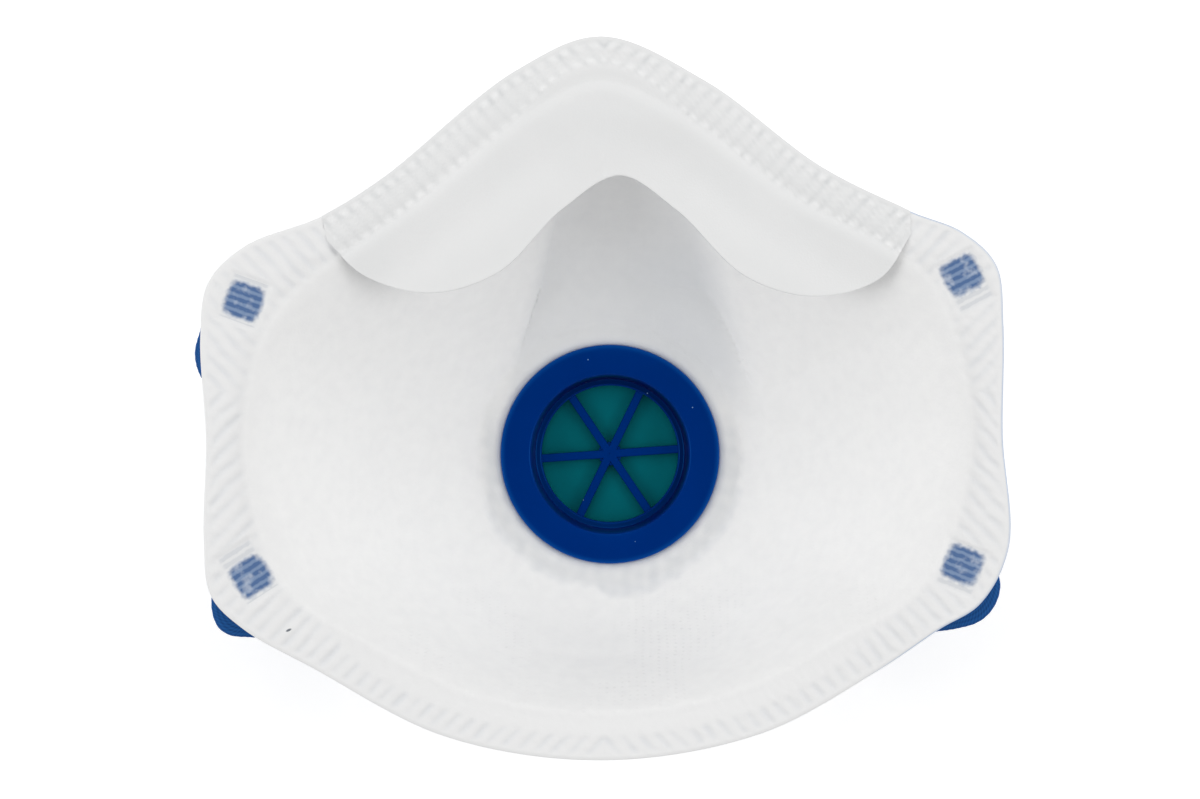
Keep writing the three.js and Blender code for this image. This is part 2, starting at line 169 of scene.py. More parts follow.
# Straps: flat elastic, each route from weld to weld, under the flange and over the floor.
STRAP_WIDTH = 6.0
STRAP_THICKNESS = 1.0
STRAP_KNOTS = 78
STRAP_SMOOTHING = 3
FLOOR_HEIGHT = 0.65
STRAP_UPPER_ROUTE = (
    (-66.4, 28.5, 50.1), (-68.8, 29.3, 50.1), (-70.6, 28.6, 49.5), (-71.2, 26.2, 48.1),
    (-71.9, 22.6, 46.3), (-73.1, 19, 44), (-72.8, 16, 40.6), (-70.7, 13.2, 33.6),
    (-66.8, 12, 24), (-63.6, 12, 14.6), (-60, 13.6, 6.4), (-54, 17, 1.6),
    (-46, 22.4, FLOOR_HEIGHT), (-36, 34, FLOOR_HEIGHT), (-23, 46.6, FLOOR_HEIGHT),
    (-7, 53.4, FLOOR_HEIGHT), (9, 53.2, FLOOR_HEIGHT), (24, 46.8, FLOOR_HEIGHT),
    (36, 36, FLOOR_HEIGHT), (45, 26.4, FLOOR_HEIGHT), (51, 20.6, 1.4), (56.4, 17.6, 5.4),
    (60.4, 16.6, 13), (62.6, 17, 23), (64, 19, 32.6), (65.2, 22.4, 40.4), (66.2, 26.4, 45.4),
    (66.6, 29.8, 47.9), (66, 32.4, 49.5), (64.8, 33.4, 50.1), (63.4, 32.9, 50.1),
)
STRAP_LOWER_ROUTE = (
    (-65.1, -21.5, 49.4), (-67.8, -23, 49.4), (-69.2, -24.7, 48.9), (-69.5, -27.2, 48.1),
    (-68.7, -29.4, 47.2), (-65.6, -29.9, 45.8), (-61.4, -30.2, 42.4), (-57.2, -31.2, 36),
    (-54.4, -32, 27), (-52, -32.8, 17), (-49, -34, 7.6), (-44, -36.4, 1.8),
    (-37.4, -40.6, FLOOR_HEIGHT), (-26, -47, FLOOR_HEIGHT), (-11, -51.6, FLOOR_HEIGHT),
    (4, -52.2, FLOOR_HEIGHT), (19, -49.6, FLOOR_HEIGHT), (32.4, -43.2, FLOOR_HEIGHT),
    (40.8, -37.6, 1.6), (46.4, -34.2, 7), (49.8, -32.4, 16.6), (52.2, -31.2, 27),
    (55, -30.4, 36), (58.7, -29.2, 42.4), (62.4, -28.4, 45.6), (65.6, -27.3, 47.1),
    (67.2, -25.4, 48.1), (67.7, -22.9, 48.9), (66.6, -20.7, 49.4), (63.8, -19.3, 49.4),
)

# Valve, turned about the origin's axis.
SEAT_RADIUS = 21.2
SEAT_FACE_HEIGHT = 13.0
SEAT_FACE_INNER_RADIUS = 15.4
LEDGE_HEIGHT = 8.8
LEDGE_OUTER_RADIUS = 14.6
PORT_RADIUS = 13.3
SLEEVE_RADIUS = 16.4
SLEEVE_END_HEIGHT = 6.2
SPOKE_COUNT = 6
SPOKE_WIDTH = 1.6
SPOKE_HEIGHT = 1.8
SPOKE_START_ANGLE = math.radians(4)
HUB_RADIUS = 2.4
DIAPHRAGM_RADIUS = 14.4
DIAPHRAGM_TOP = 5.9
DIAPHRAGM_THICKNESS = 0.6
COVER_RADIUS = 20.4
COVER_WALL = 1.5
COVER_TOP_HEIGHT = 8.5
VENT_COUNT = 12
VENT_WIDTH = 5.0
VENT_LOW_HEIGHT = 3.2
VENT_HIGH_HEIGHT = 6.2

# ---------------------------------------------------------------------------------------------
# Camera and light
# ---------------------------------------------------------------------------------------------


def aim(thing, target):
    """Turns a light or camera so that it looks at a point."""
    thing.rotation_euler = (Vector(target) - thing.location).to_track_quat("-Z", "Y").to_euler()


def add_camera():
    """Straight above the mask and far enough away to look a little way down its walls."""
    data = bpy.data.cameras.new("camera")
    data.sensor_width = 36
    data.lens = 89.5
    camera = bpy.data.objects.new("camera", data)
    camera.location = (-0.00194, 0.01058, 0.590)
    bpy.context.scene.collection.objects.link(camera)
    bpy.context.scene.camera = camera


def add_area_light(name, location, size, power):
    data = bpy.data.lights.new(name, "AREA")
    data.shape = "DISK"
    data.size = size
    data.energy = power
    light = bpy.data.objects.new(name, data)
    light.location = location
    bpy.context.scene.collection.objects.link(light)
    aim(light, (0, 0, 0.03))


def add_studio():
    """A pale card to lie on in a white room, with soft lamps at both sides and beyond the nose."""
    world = bpy.data.worlds.new("white_room")
    world.use_nodes = True
    background = world.node_tree.nodes["Background"]
    background.inputs["Color"].default_value = (1, 1, 1, 1)
    background.inputs["Strength"].default_value = 0.56
    bpy.context.scene.world = world
    add_area_light("lamp_right", (-0.85, -0.03, 0.6), 0.6, 2.9)
    add_area_light("lamp_left", (0.85, 0, 0.6), 0.6, 2.77)
    add_area_light("lamp_beyond_nose", (0, 0.8, 0.6), 0.6, 1.25)
    add_area_light("lamp_high", (0, 0.55, 1.1), 0.6, 0.7)
    bpy.context.scene.view_settings.view_transform = "Standard"

    bpy.ops.mesh.primitive_plane_add(size=6, location=(0, 0, -0.0002))
    floor = bpy.context.object
    floor.name = "floor"
    floor.data.materials.append(matt_card())


# ---------------------------------------------------------------------------------------------
# Materials
# ---------------------------------------------------------------------------------------------


def colour(hex_value):
    """A linear RGBA colour from an sRGB hex value such as "2050A0"."""
    parts = [int(hex_value[i:i + 2], 16) / 255 for i in (0, 2, 4)]
    linear = [p / 12.92 if p <= 0.04045 else ((p + 0.055) / 1.055) ** 2.4 for p in parts]
    return (*linear, 1)


def add(tree, kind, inputs=None, **settings):
    """Adds a node with its settings. Inputs are constants or other nodes' output sockets."""
    node = tree.nodes.new("ShaderNode" + kind)
    for name, value in settings.items():
        setattr(node, name, value)
    for name, value in (inputs or {}).items():
        if isinstance(value, bpy.types.NodeSocket):
            tree.links.new(value, node.inputs[name])
        else:
            node.inputs[name].default_value = value
    return node


def new_material(name, **surface):
    """A material with one surface shader, whose constants are given by the sockets' names."""
    material = bpy.data.materials.new(name)
    material.use_nodes = True
    tree = material.node_tree
    shader = tree.nodes["Principled BSDF"]
    for socket, value in surface.items():
        shader.inputs[socket.replace("_", " ")].default_value = value
    return material, tree, shader


def matt_card():
    """Matt coated card: an even pale ground with hardly any gloss."""
    material, tree, shader = new_material("matt_coated_card", Roughness=0.9, Specular_IOR_Level=0.2,
                                          Emission_Color=(1, 1, 1, 1), Emission_Strength=0.2)
    place = add(tree, "TexCoord").outputs["Object"]
    grain = add(tree, "TexNoise", {"Vector": place, "Scale": 60.0, "Detail": 3.0})
    tint = add(tree, "Mix", {
        "Factor": grain.outputs["Fac"], "A": colour("FBFBFB"), "B": colour("FFFFFF"),
    }, data_type="RGBA")
    tree.links.new(tint.outputs[2], shader.inputs["Base Color"])
    return material


# ---------------------------------------------------------------------------------------------
# Shape helpers, all in millimetres
# ---------------------------------------------------------------------------------------------


def rise(value, low, high):
    """0 below low, 1 above high and smooth between."""
    share = np.clip((value - low) / (high - low), 0, 1)
    return share * share * (3 - 2 * share)


def blend(start, end, share):
    return start + (end - start) * share


def curve_through(points, at, closed=False):
    """Points at the places at, from 0 to 1, on a centripetal Catmull-Rom curve."""
    points = np.array(points, float)
    count = len(points)
    at = np.asarray(at, float)
    if closed:
        place = (at % 1) * count
        first = np.floor(place).astype(int)
        before, start, end, after = (points[(first + step) % count] for step in (-1, 0, 1, 2))
    else:
        ends = (2 * points[0] - points[1], 2 * points[-1] - points[-2])
        longer = np.vstack([ends[0], points, ends[1]])
        place = at * (count - 1)
        first = np.minimum(np.floor(place).astype(int), count - 2)
        before, start, end, after = (longer[first + step] for step in range(4))
    d0, d1, d2 = (np.sqrt(np.linalg.norm(b - a, axis=1, keepdims=True))
                  for a, b in ((before, start), (start, end), (end, after)))
    leave = d1 * ((start - before) / d0 - (end - before) / (d0 + d1) + (end - start) / d1)
    arrive = d1 * ((end - start) / d1 - (after - start) / (d1 + d2) + (after - end) / d2)
    t = (place - first)[:, None]
    square = -3 * start + 3 * end - 2 * leave - arrive
    cube = 2 * start - 2 * end + leave + arrive
    return start + leave * t + square * t ** 2 + cube * t ** 3


def lengths_along(points):
    """How far along a line each of its points lies."""
    steps = np.linalg.norm(np.diff(points, axis=0), axis=1)
    return np.concatenate([[0], np.cumsum(steps)])


def ripple(x, y, wave, seed):
    """Smooth noise between about -1 and 1, with bumps of about the given size."""
    random = np.random.default_rng(seed)
    total = np.zeros_like(x)
    waves = 9
    for _ in range(waves):
        angle = random.uniform(0, math.pi)
        length = wave * random.uniform(0.7, 1.6)
        phase = random.uniform(0, 2 * math.pi)
        along = x * math.cos(angle) + y * math.sin(angle)
        total += np.sin(2 * math.pi * along / length + phase)
    return total / math.sqrt(waves)


def mesh_piece(name, points, faces, attributes=None):
    """A new smooth-shaded piece from points in millimetres, with numbers kept at its points."""
    mesh = bpy.data.meshes.new(name)
    mesh.from_pydata((np.asarray(points) * MM).tolist(), [], faces)
    mesh.shade_smooth()
    for key, values in (attributes or {}).items():
        kind = "FLOAT" if values.ndim == 1 else "FLOAT_VECTOR"
        attribute = mesh.attributes.new(key, kind, "POINT")
        field = "value" if values.ndim == 1 else "vector"
        attribute.data.foreach_set(field, values.astype(np.float32).ravel())
    piece = bpy.data.objects.new(name, mesh)
    bpy.context.scene.collection.objects.link(piece)
    return piece


# ---------------------------------------------------------------------------------------------
# Straps
# ---------------------------------------------------------------------------------------------


def spaced_route(route, steps):
    """Points at even distances along a route's curve, and the directions there."""
    dense = curve_through(route, np.linspace(0, 1, 4001))
    along = lengths_along(dense)
    at = np.linspace(0, along[-1], steps + 1)
    points = np.stack([np.interp(at, along, dense[:, k]) for k in range(3)], axis=1)
    tangents = np.gradient(points, axis=0)
    return points, tangents / np.linalg.norm(tangents, axis=1, keepdims=True)


def level_widths(route):
    """Directions across a flat band that stay level, at even distances along its route."""
    tangents = spaced_route(route, STRAP_KNOTS)[1]
    widths = np.stack([tangents[:, 1], -tangents[:, 0], np.zeros(len(tangents))], axis=1)
    widths /= np.linalg.norm(widths, axis=1, keepdims=True)
    for i in range(1, len(widths)):
        if widths[i] @ widths[i - 1] < 0:
            widths[i] *= -1
    for _ in range(STRAP_SMOOTHING):
        widths = widths + np.vstack([widths[:1], widths[:-1]]) + np.vstack([widths[1:], widths[-1:]])
    return widths


def band_section():
    """Half-width and half-thickness shares round a flat band's section, with rounded selvedges."""
    across = np.array([-1, -0.97, -0.88, -0.66, -0.33, 0, 0.33, 0.66, 0.88, 0.97, 1])
    thick = np.array([0, 0.55, 0.9, 1, 1, 1, 1, 1, 0.9, 0.55, 0])
    return np.concatenate([across, across[-2:0:-1]]), np.concatenate([thick, -thick[-2:0:-1]])


def strap(name, route, node):
    """A flat elastic band along its route. Its selvedges are scalloped by the weft's turns."""
    steps = 900
    weft_turn = 1.2
    points, tangents = spaced_route(route, steps)
    knots = level_widths(route)
    at = np.linspace(0, STRAP_KNOTS, steps + 1)
    widths = np.stack([np.interp(at, np.arange(STRAP_KNOTS + 1), knots[:, k]) for k in range(3)], axis=1)
    normals = np.cross(tangents, widths)
    normals /= np.linalg.norm(normals, axis=1, keepdims=True)
    widths = np.cross(normals, tangents)
    along = lengths_along(points)
    scallop = 1 - 0.008 * (1 + np.cos(2 * math.pi * along / weft_turn))
    across, thick = band_section()
    sides = len(across)
    edge = np.abs(across) > 0.85
    half_width = STRAP_WIDTH / 2 * across[None, :] * np.where(edge, scallop[:, None], 1)
    half_thick = STRAP_THICKNESS / 2 * thick[None, :] * np.ones((steps + 1, 1))
    skin = (points[:, None] + widths[:, None] * half_width[..., None]
            + normals[:, None] * half_thick[..., None])
    faces = [(i * sides + j, (i + 1) * sides + j, (i + 1) * sides + (j + 1) % sides,
              i * sides + (j + 1) % sides) for i in range(steps) for j in range(sides)]
    faces.append(tuple(range(sides)))
    faces.append(tuple(steps * sides + j for j in reversed(range(sides))))
    weave = np.stack([half_width, np.broadcast_to(along[:, None], half_width.shape),
                      half_thick], axis=2)
    piece = mesh_piece(name, skin.reshape(-1, 3), faces, {"weave_mm": weave.reshape(-1, 3)})
    piece.data.materials.append(woven_elastic())
    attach(piece, "root")
    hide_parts(node)


def woven_elastic():
    """Woven elastic: covered rubber cords run along it as soft ribs, crossed by fine weft picks."""
    found = bpy.data.materials.get("woven_elastic_blue")
    if found:
        return found
    material, tree, shader = new_material("woven_elastic_blue", Roughness=0.8,
                                          Specular_IOR_Level=0.15)
    place = add(tree, "Attribute", attribute_name="weave_mm").outputs["Vector"]
    # Covered cords 0.75 mm apart and picks 0.5 mm apart.
    parts = add(tree, "SeparateXYZ", {"Vector": place})
    cord_phase = add(tree, "Math", {0: parts.outputs["X"], 1: 2 * math.pi / 0.75}, operation="MULTIPLY")
    cords = add(tree, "Math", {0: cord_phase.outputs[0]}, operation="COSINE")
    pick_phase = add(tree, "Math", {0: parts.outputs["Y"], 1: 2 * math.pi / 0.5}, operation="MULTIPLY")
    shifted = add(tree, "Math", {0: pick_phase.outputs[0], 1: cord_phase.outputs[0]}, operation="ADD")
    picks = add(tree, "Math", {0: shifted.outputs[0]}, operation="COSINE")
    height = add(tree, "Math", {0: cords.outputs[0], 1: picks.outputs[0]}, operation="ADD")
    share = add(tree, "MapRange", {"Value": height.outputs[0], "From Min": -2.0, "From Max": 2.0})
    # Painted shade and light: the blue is darker in the weave's hollows and lighter on its raised cords and picks.
    tint = add(tree, "Mix", {
        "Factor": share.outputs[0], "A": colour("164680"), "B": colour("235FA6"),
    }, data_type="RGBA")
    bump = add(tree, "Bump", {"Height": share.outputs[0], "Strength": 0.3, "Distance": 0.12 * MM})
    tree.links.new(tint.outputs[2], shader.inputs["Base Color"])
    tree.links.new(bump.outputs[0], shader.inputs["Normal"])
    return material


# ---------------------------------------------------------------------------------------------
# Cup
# ---------------------------------------------------------------------------------------------


def rim_columns(*names):
    picked = [RIM_COLUMNS.index(name) for name in names]
    return np.array(list(RIM_STATIONS.values()), float)[:, picked]


def channel_share(x, y):
    """1 in the nose channel, 0 on the cheeks beside it and round the valve."""
    c = CHANNEL
    up = (y - c["y_low"]) / (c["y_high"] - c["y_low"])
    left = blend(c["left_low"], c["left_high"], up)
    right = blend(c["right_low"], c["right_high"], up)
    across = rise(x, left - c["left_softness"], left + c["left_softness"])
    across = across * (1 - rise(x, right - c["right_softness"], right + c["right_softness"]))
    along = rise(y, c["y_low"] - c["fade_low"], c["y_low"] + c["fade_low"])
    return across * along * (1 - rise(y, c["y_high"], c["y_high"] + c["fade_high"]))


def channel_depth(x, y):
    """The channel's floor is flattened across, against the cup's own round."""
    flattened = CHANNEL["flatness"] * np.minimum(x * x, 500) / np.maximum(y, 16)
    return (CHANNEL["depth"] + flattened) * channel_share(x, y)


def channel_painted_shade(x, y):
    """Painted shade down the nose channel, as a grey in the cloth's colour: darkest low down and on the wearer's
    left.
    """
    hard = 0.34 + 0.24 * rise(x, -6, 14)
    return hard * blend(1, 0.35, rise(y, 33, 48)) * channel_share(x, y)


def fold_depth(x, y):
    depth = np.zeros_like(x)
    for row in FOLDS.values():
        fold = dict(zip(FOLD_COLUMNS, row))
        run = np.array([fold["x2"] - fold["x1"], fold["y2"] - fold["y1"]], float)
        length = np.hypot(*run)
        share = ((x - fold["x1"]) * run[0] + (y - fold["y1"]) * run[1]) / length ** 2
        side = ((x - fold["x1"]) * run[1] - (y - fold["y1"]) * run[0]) / length
        near = np.clip(share, 0, 1)
        side = side - fold["bow"] * 4 * near * (1 - near)
        away = np.hypot(side, (share - near) * length)
        depth += fold["depth"] * np.exp(-((away / fold["width"]) ** 2))
    return depth


FLANGE_LEVELS = [0, 0.022] + list(np.linspace(0.05, 1, 20))
WALL_LEVELS = list(1 + np.linspace(0, 1, 57)[1:] ** 1.25)
PANEL_LEVELS = [2.12, 2.24, 2.34, 2.42, 2.445, 2.475, 2.5, 2.7, 3]
INSIDE_LEVELS = FLANGE_LEVELS + WALL_LEVELS + PANEL_LEVELS
OUTSIDE_LEVELS = ([0, 0.04] + list(np.linspace(0.12, 1, 9))
                  + list(1 + np.linspace(0, 1, 29)[1:] ** 1.25) + [2.2, 2.5, 3])


class CupForm:
    """The cup's middle surface at even steps round its rim. Level goes from 0 at the cut edge
    over 1 at the mouth and 2 at the panel's edge to 3 at the valve's hole."""

    def __init__(self, columns):
        dense = np.linspace(0, 1, 8001)
        ring = curve_through(rim_columns("x", "y", "z"), dense, closed=True)
        along = lengths_along(ring)
        self.around = np.interp(np.arange(columns) / columns * along[-1], along, dense)
        self.rim = curve_through(rim_columns("x", "y", "z"), self.around, closed=True)
        mouth_points = rim_columns("mouth_x", "mouth_y", "z") - (0, 0, MOUTH_DROP)
        self.mouth = curve_through(mouth_points, self.around, closed=True)
        fall = rim_columns("fall")[:, 0]
        place = self.around * len(fall)
        first = np.floor(place).astype(int)
        self.fall = blend(fall[first % len(fall)], fall[(first + 1) % len(fall)], place - first)
        self.flange_width = np.linalg.norm(self.rim - self.mouth, axis=1)
        angle = np.arctan2(self.mouth[:, 1], self.mouth[:, 0])
        self.spoke = np.stack([np.cos(angle), np.sin(angle)], axis=1)

    def rows(self):
        """The rings at the inside skin's levels, rounded over the mouth."""
        return soften_mouth([self.ring(level) for level in INSIDE_LEVELS], INSIDE_LEVELS)

    def ring(self, level):
        if level <= 1:
            return blend(self.rim, self.mouth, level)
        if level >= 2:
            radius = blend(PANEL_RADIUS, VALVE_HOLE_RADIUS, level - 2)
            height = np.full((len(self.spoke), 1), PANEL_HEIGHT)
            return np.hstack([self.spoke * radius, height])
        inward = level - 1
        plan = blend(self.spoke * PANEL_RADIUS, self.mouth[:, :2], 1 - inward)
        drop = 1 - (1 - inward) ** self.fall
        on_wall = rise(inward, 0, 0.25) * (1 - rise(inward, 0.75, 1))
        dents = on_wall * (channel_depth(*plan.T) + fold_depth(*plan.T))
        plain_height = blend(self.mouth[:, 2], PANEL_HEIGHT, drop)
        height = plain_height - np.minimum(dents, DEEPEST_DENT * (plain_height - PANEL_HEIGHT))
        return np.hstack([plan, height[:, None]])


def groove_share(x, y):
    """0 on the ridges and 1 along the middles of the slanted grooves."""
    side = np.abs(x - GROOVE_MIDDLE_X)
    up = np.abs(y - GROOVE_MIDDLE_Y)
    phase = (up * math.cos(GROOVE_ANGLE) - side * math.sin(GROOVE_ANGLE)) / GROOVE_PITCH
    phase = phase + 0.05 * ripple(x, y, 7, 21)
    return (0.5 - 0.5 * np.cos(2 * math.pi * phase)) ** GROOVE_NARROWNESS


def weld_places(x, y):
    """For each point, its place along and across the bars of the nearest weld and how far those
    bars reach."""
    table = np.array(list(WELDS.values()), float)
    away = np.hypot(x[:, None] - table[:, 0], y[:, None] - table[:, 1])
    near = table[np.argmin(away, axis=1)]
    turn = np.radians(near[:, 2])
    dx, dy = x - near[:, 0], y - near[:, 1]
    along = dx * np.cos(turn) + dy * np.sin(turn)
    across = dy * np.cos(turn) - dx * np.sin(turn)
    return along, across, near[:, 3], near[:, 4]


def weld_share(x, y, spare):
    """1 inside a weld's pressed field and 0 further than spare from it."""
    along, across, low, high = weld_places(x, y)
    outside = np.maximum(np.abs(along) - WELD_LENGTH / 2, np.maximum(low - across, across - high))
    return 1 - rise(outside, 0, spare)


def band_share(x, y):
    """1 on the pressed band round the valve's ring, 0 on the open wall."""
    angles, reaches = np.array(BAND_REACH, float).T
    angle = np.degrees(np.arctan2(y, x))
    reach = np.interp(angle, angles, reaches) + 0.3 * ripple(x, y, 3.5, 5)
    below_nose = 1 - rise(y, 1, 12)
    return below_nose * (1 - rise(np.hypot(x, y), reach - 1.5, reach + 0.7))


def crimp_band(from_edge, width, y):
    """1 on the crimped band, which ends before the mouth where the chin's shoulder starts."""
    end = width - CHIN_SHOULDER * rise(-y, 28, 40)
    return (rise(from_edge, SMOOTH_STRIP - 0.2, SMOOTH_STRIP + 0.8)
            * (1 - rise(from_edge, end - 1.3, end - 0.2)))


def front_relief(points, level, width):
    """How far the inside skin stands proud of its plain form, and how grey it is drawn: the pressed cloth's own
    grey, with painted shade added in the crimp's grooves and down the nose channel.
    """
    x, y = points[:, 0], points[:, 1]
    if level <= 1:
        from_edge = level * width
        near_weld = weld_share(x, y, 1.6)
        uneven = 0.8 + 0.25 * ripple(x, y, 5, 9)
        groove = groove_share(x, y) * crimp_band(from_edge, width, y) * (1 - near_weld) * uneven
        height = -GROOVE_DEPTH * groove - 0.4 * weld_share(x, y, 0.9)
        height += 0.05 * ripple(x, y, 1.9, 2) * (1 - near_weld)
        edge = rise(from_edge, 0, 0.9)
        # The grooves' grey is partly the pressed cloth's own and partly painted shade; the welds' grey is their own.
        return height * edge, 0.4 * groove + 0.25 * weld_share(x, y, 0.5)
    on_band = band_share(x, y)
    from_axis = np.hypot(x, y)
    outside_seat = rise(from_axis, SEAT_RADIUS - 0.25, SEAT_RADIUS)
    puff = outside_seat * np.exp(-(((from_axis - SEAT_RADIUS - 1) / 2.4) ** 2))
    height = PUFF_HEIGHT * puff - 0.25 * on_band * (1 - puff)
    height = height + 0.05 * ripple(x, y, 14, 3) + 0.02 * ripple(x, y, 4, 4)
    on_band = on_band * (0.45 + 0.08 * ripple(x, y, 3, 17))
    # The nose channel's share is painted shade; the band round the valve's ring is the pressed cloth's own grey.
    return height, np.maximum(on_band, channel_painted_shade(x, y))


def normals_of(rows, index):
    """Normals of one ring in a stack of closed rings."""
    ring = rows[index]
    along = np.roll(ring, -1, axis=0) - np.roll(ring, 1, axis=0)
    inward = rows[min(index + 1, len(rows) - 1)] - rows[max(index - 1, 0)]
    normal = np.cross(along, inward)
    return normal / np.linalg.norm(normal, axis=1, keepdims=True)


def soften_mouth(rows, levels):
    """Rounds the corner between flange and wall over a few millimetres."""
    passes = 60
    weight = np.array([rise(level, 0.45, 0.75) * (1 - rise(level, 1.12, 1.3)) for level in levels])
    stack = np.array(rows)
    for _ in range(passes):
        middle = (stack[:-2] + stack[2:]) / 2 - stack[1:-1]
        stack[1:-1] += 0.5 * weight[1:-1, None, None] * middle
    return list(stack)


def thickness_at(level):
    to_wall = blend(FLANGE_THICKNESS, WALL_THICKNESS, rise(level, 0.9, 1.2))
    full = blend(to_wall, PANEL_THICKNESS, rise(level, 1.8, 2))
    return full * blend(0.5, 1, rise(level, 0, 0.05))


def blue_edge_share(points):
    """Where the outer cloth's blue tint shows along the cut edge: on the wearer's left side."""
    x, y = points[:, 0], points[:, 1]
    return rise(x, 12, 22) * (1 - rise(-y, 32, 42))


def skin_rings(columns, levels, side, keep):
    """Rings of the cup's inside skin, side 1, or outside skin, side -1, with the numbers that
    its finish reads. keep gives for each level every how many columns stay."""
    form = CupForm(columns)
    inside_rows = np.array(form.rows())
    rows = [np.array([[np.interp(level, INSIDE_LEVELS, inside_rows[:, j, k]) for k in range(3)]
                      for j in range(columns)]) for level in levels]
    rings = []
    for i, level in enumerate(levels):
        every = keep(level)
        # pressed carries the pressed cloth's grey together with painted shade in the grooves and the nose channel.
        relief, pressed = front_relief(rows[i], level, form.flange_width)
        if side < 0:
            relief = relief * 0.5
        offset = thickness_at(level) / 2 + relief
        points = rows[i] + side * normals_of(rows, i) * np.reshape(offset, (-1, 1))
        inside = np.full(columns, float(side > 0))
        flange = np.full(columns, 1 - float(rise(level, 0.85, 1.1)))
        blue_edge = (1 - rise(level * form.flange_width, 0.1, BLUE_EDGE_WIDTH)) * blue_edge_share(points)
        numbers = np.stack([pressed, flange, inside * blue_edge], axis=1)
        rings.append((points[::every], numbers[::every]))
    return rings


def bridge_rings(rings):
    """Faces between closed rings, where a ring may have a whole number of times the points of
    the next one. The last ring is joined to the first."""
    starts = np.concatenate([[0], np.cumsum([len(points) for points, _ in rings])])
    faces = []
    for i, (points, _) in enumerate(rings):
        after = (i + 1) % len(rings)
        first, second = len(points), len(rings[after][0])
        count = min(first, second)
        for j in range(count):
            step_one, step_two = first // count, second // count
            one = [starts[i] + (j * step_one + k) % first for k in range(step_one + 1)]
            two = [starts[after] + (j * step_two + k) % second for k in range(step_two + 1)]
            faces.append(tuple(int(v) for v in one + two[::-1]))
    return faces


def moulded_cup():
    """The cup: one moulded wall of bonded nonwoven, crimped flat along its flange."""
    fine, middle, coarse = 1536, 2, 4
    inside = skin_rings(fine, INSIDE_LEVELS, 1, lambda level: 1 if level < 0.98 else middle)
    outside = skin_rings(fine, OUTSIDE_LEVELS, -1, lambda level: middle if level < 1 else coarse)
    rings = inside + outside[::-1]
    points = np.vstack([ring for ring, _ in rings])
    numbers = np.vstack([values for _, values in rings])
    along, across, low, high = weld_places(points[:, 0], points[:, 1])
    attributes = {
        # The pressed attribute also holds painted shade, in the crimp's grooves and the nose channel.
        "pressed": numbers,
        "weld_mm": np.stack([along, across, np.zeros(len(points))], axis=1),
        "weld_reach": np.stack([low, high, np.zeros(len(points))], axis=1),
    }
    piece = mesh_piece("moulded_cup", points, bridge_rings(rings), attributes)
    piece.data.materials.append(spun_bonded_polypropylene())
    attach(piece, "root")
    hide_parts("cup_shell")
    return piece


def spun_bonded_polypropylene():
    """Spun-bonded polypropylene: matt white fibres, bonded in rows of tiny points. It is greyer where it is pressed,
    with painted shade added in the crimp's grooves and down the nose channel, and the strap's blue shows through the
    welds."""
    material, tree, shader = new_material("spun_bonded_polypropylene", Roughness=0.85,
                                          Specular_IOR_Level=0.3, Sheen_Weight=0.1)
    place = add(tree, "TexCoord").outputs["Object"]
    numbers = add(tree, "SeparateXYZ", {
        "Vector": add(tree, "Attribute", attribute_name="pressed").outputs["Vector"],
    })
    # Fibres lie in soft clumps about 1.5 mm long; single ones are drawn 0.25 mm wide to show.
    fibres = add(tree, "TexNoise", {"Vector": place, "Scale": 2200.0, "Detail": 3.0})
    clumps = add(tree, "TexNoise", {"Vector": place, "Scale": 420.0, "Detail": 2.0})
    height = add(tree, "Math", {0: fibres.outputs["Fac"], 1: clumps.outputs["Fac"]}, operation="ADD")
    points = bond_points(tree, place, numbers.outputs["Y"])
    dented = add(tree, "Math", {0: height.outputs[0], 1: points}, operation="SUBTRACT")
    bump = add(tree, "Bump", {"Height": dented.outputs[0], "Strength": 0.35, "Distance": 0.12 * MM})
    wall = add(tree, "Mix", {
        "Factor": clumps.outputs["Fac"], "A": colour("F4F4F4"), "B": colour("FCFCFB"),
    }, data_type="RGBA")
    flange = add(tree, "Mix", {
        "Factor": numbers.outputs["Y"], "A": wall.outputs[2], "B": colour("EEEEEE"),
    }, data_type="RGBA")
    shade = add(tree, "Math", {0: points, 1: 0.09}, operation="MULTIPLY")
    pitted = add(tree, "Mix", {
        "Factor": shade.outputs[0], "A": flange.outputs[2], "B": colour("8E9094"),
    }, data_type="RGBA")
    # Grey where the cloth is pressed, with painted shade in the crimp's grooves and the nose channel.
    pressed = add(tree, "Mix", {
        "Factor": numbers.outputs["X"], "A": pitted.outputs[2], "B": colour("D8DBDF"),
    }, data_type="RGBA")
    edged = add(tree, "Mix", {
        "Factor": numbers.outputs["Z"], "A": pressed.outputs[2], "B": colour("C2CEE0"),
    }, data_type="RGBA")
    # A dark speck caught under the surface fibres, 1.2 mm long.
    near_speck = add(tree, "Mapping", {
        "Vector": place, "Location": (-58.2 * MM, -31.1 * MM, 50 * MM),
        "Rotation": (0, 0, math.radians(25)), "Scale": (0.65 * MM, 0.26 * MM, 9 * MM),
    }, vector_type="TEXTURE")
    away = add(tree, "VectorMath", {0: near_speck.outputs[0]}, operation="LENGTH")
    speck = add(tree, "MapRange", {"Value": away.outputs["Value"], "From Min": 1.0, "From Max": 0.6})
    specked = add(tree, "Mix", {
        "Factor": speck.outputs[0], "A": edged.outputs[2], "B": colour("6F757D"),
    }, data_type="RGBA")
    welded = add_weld_colour(tree, place, specked.outputs[2])
    tree.links.new(welded, shader.inputs["Base Color"])
    tree.links.new(bump.outputs[0], shader.inputs["Normal"])
    return material


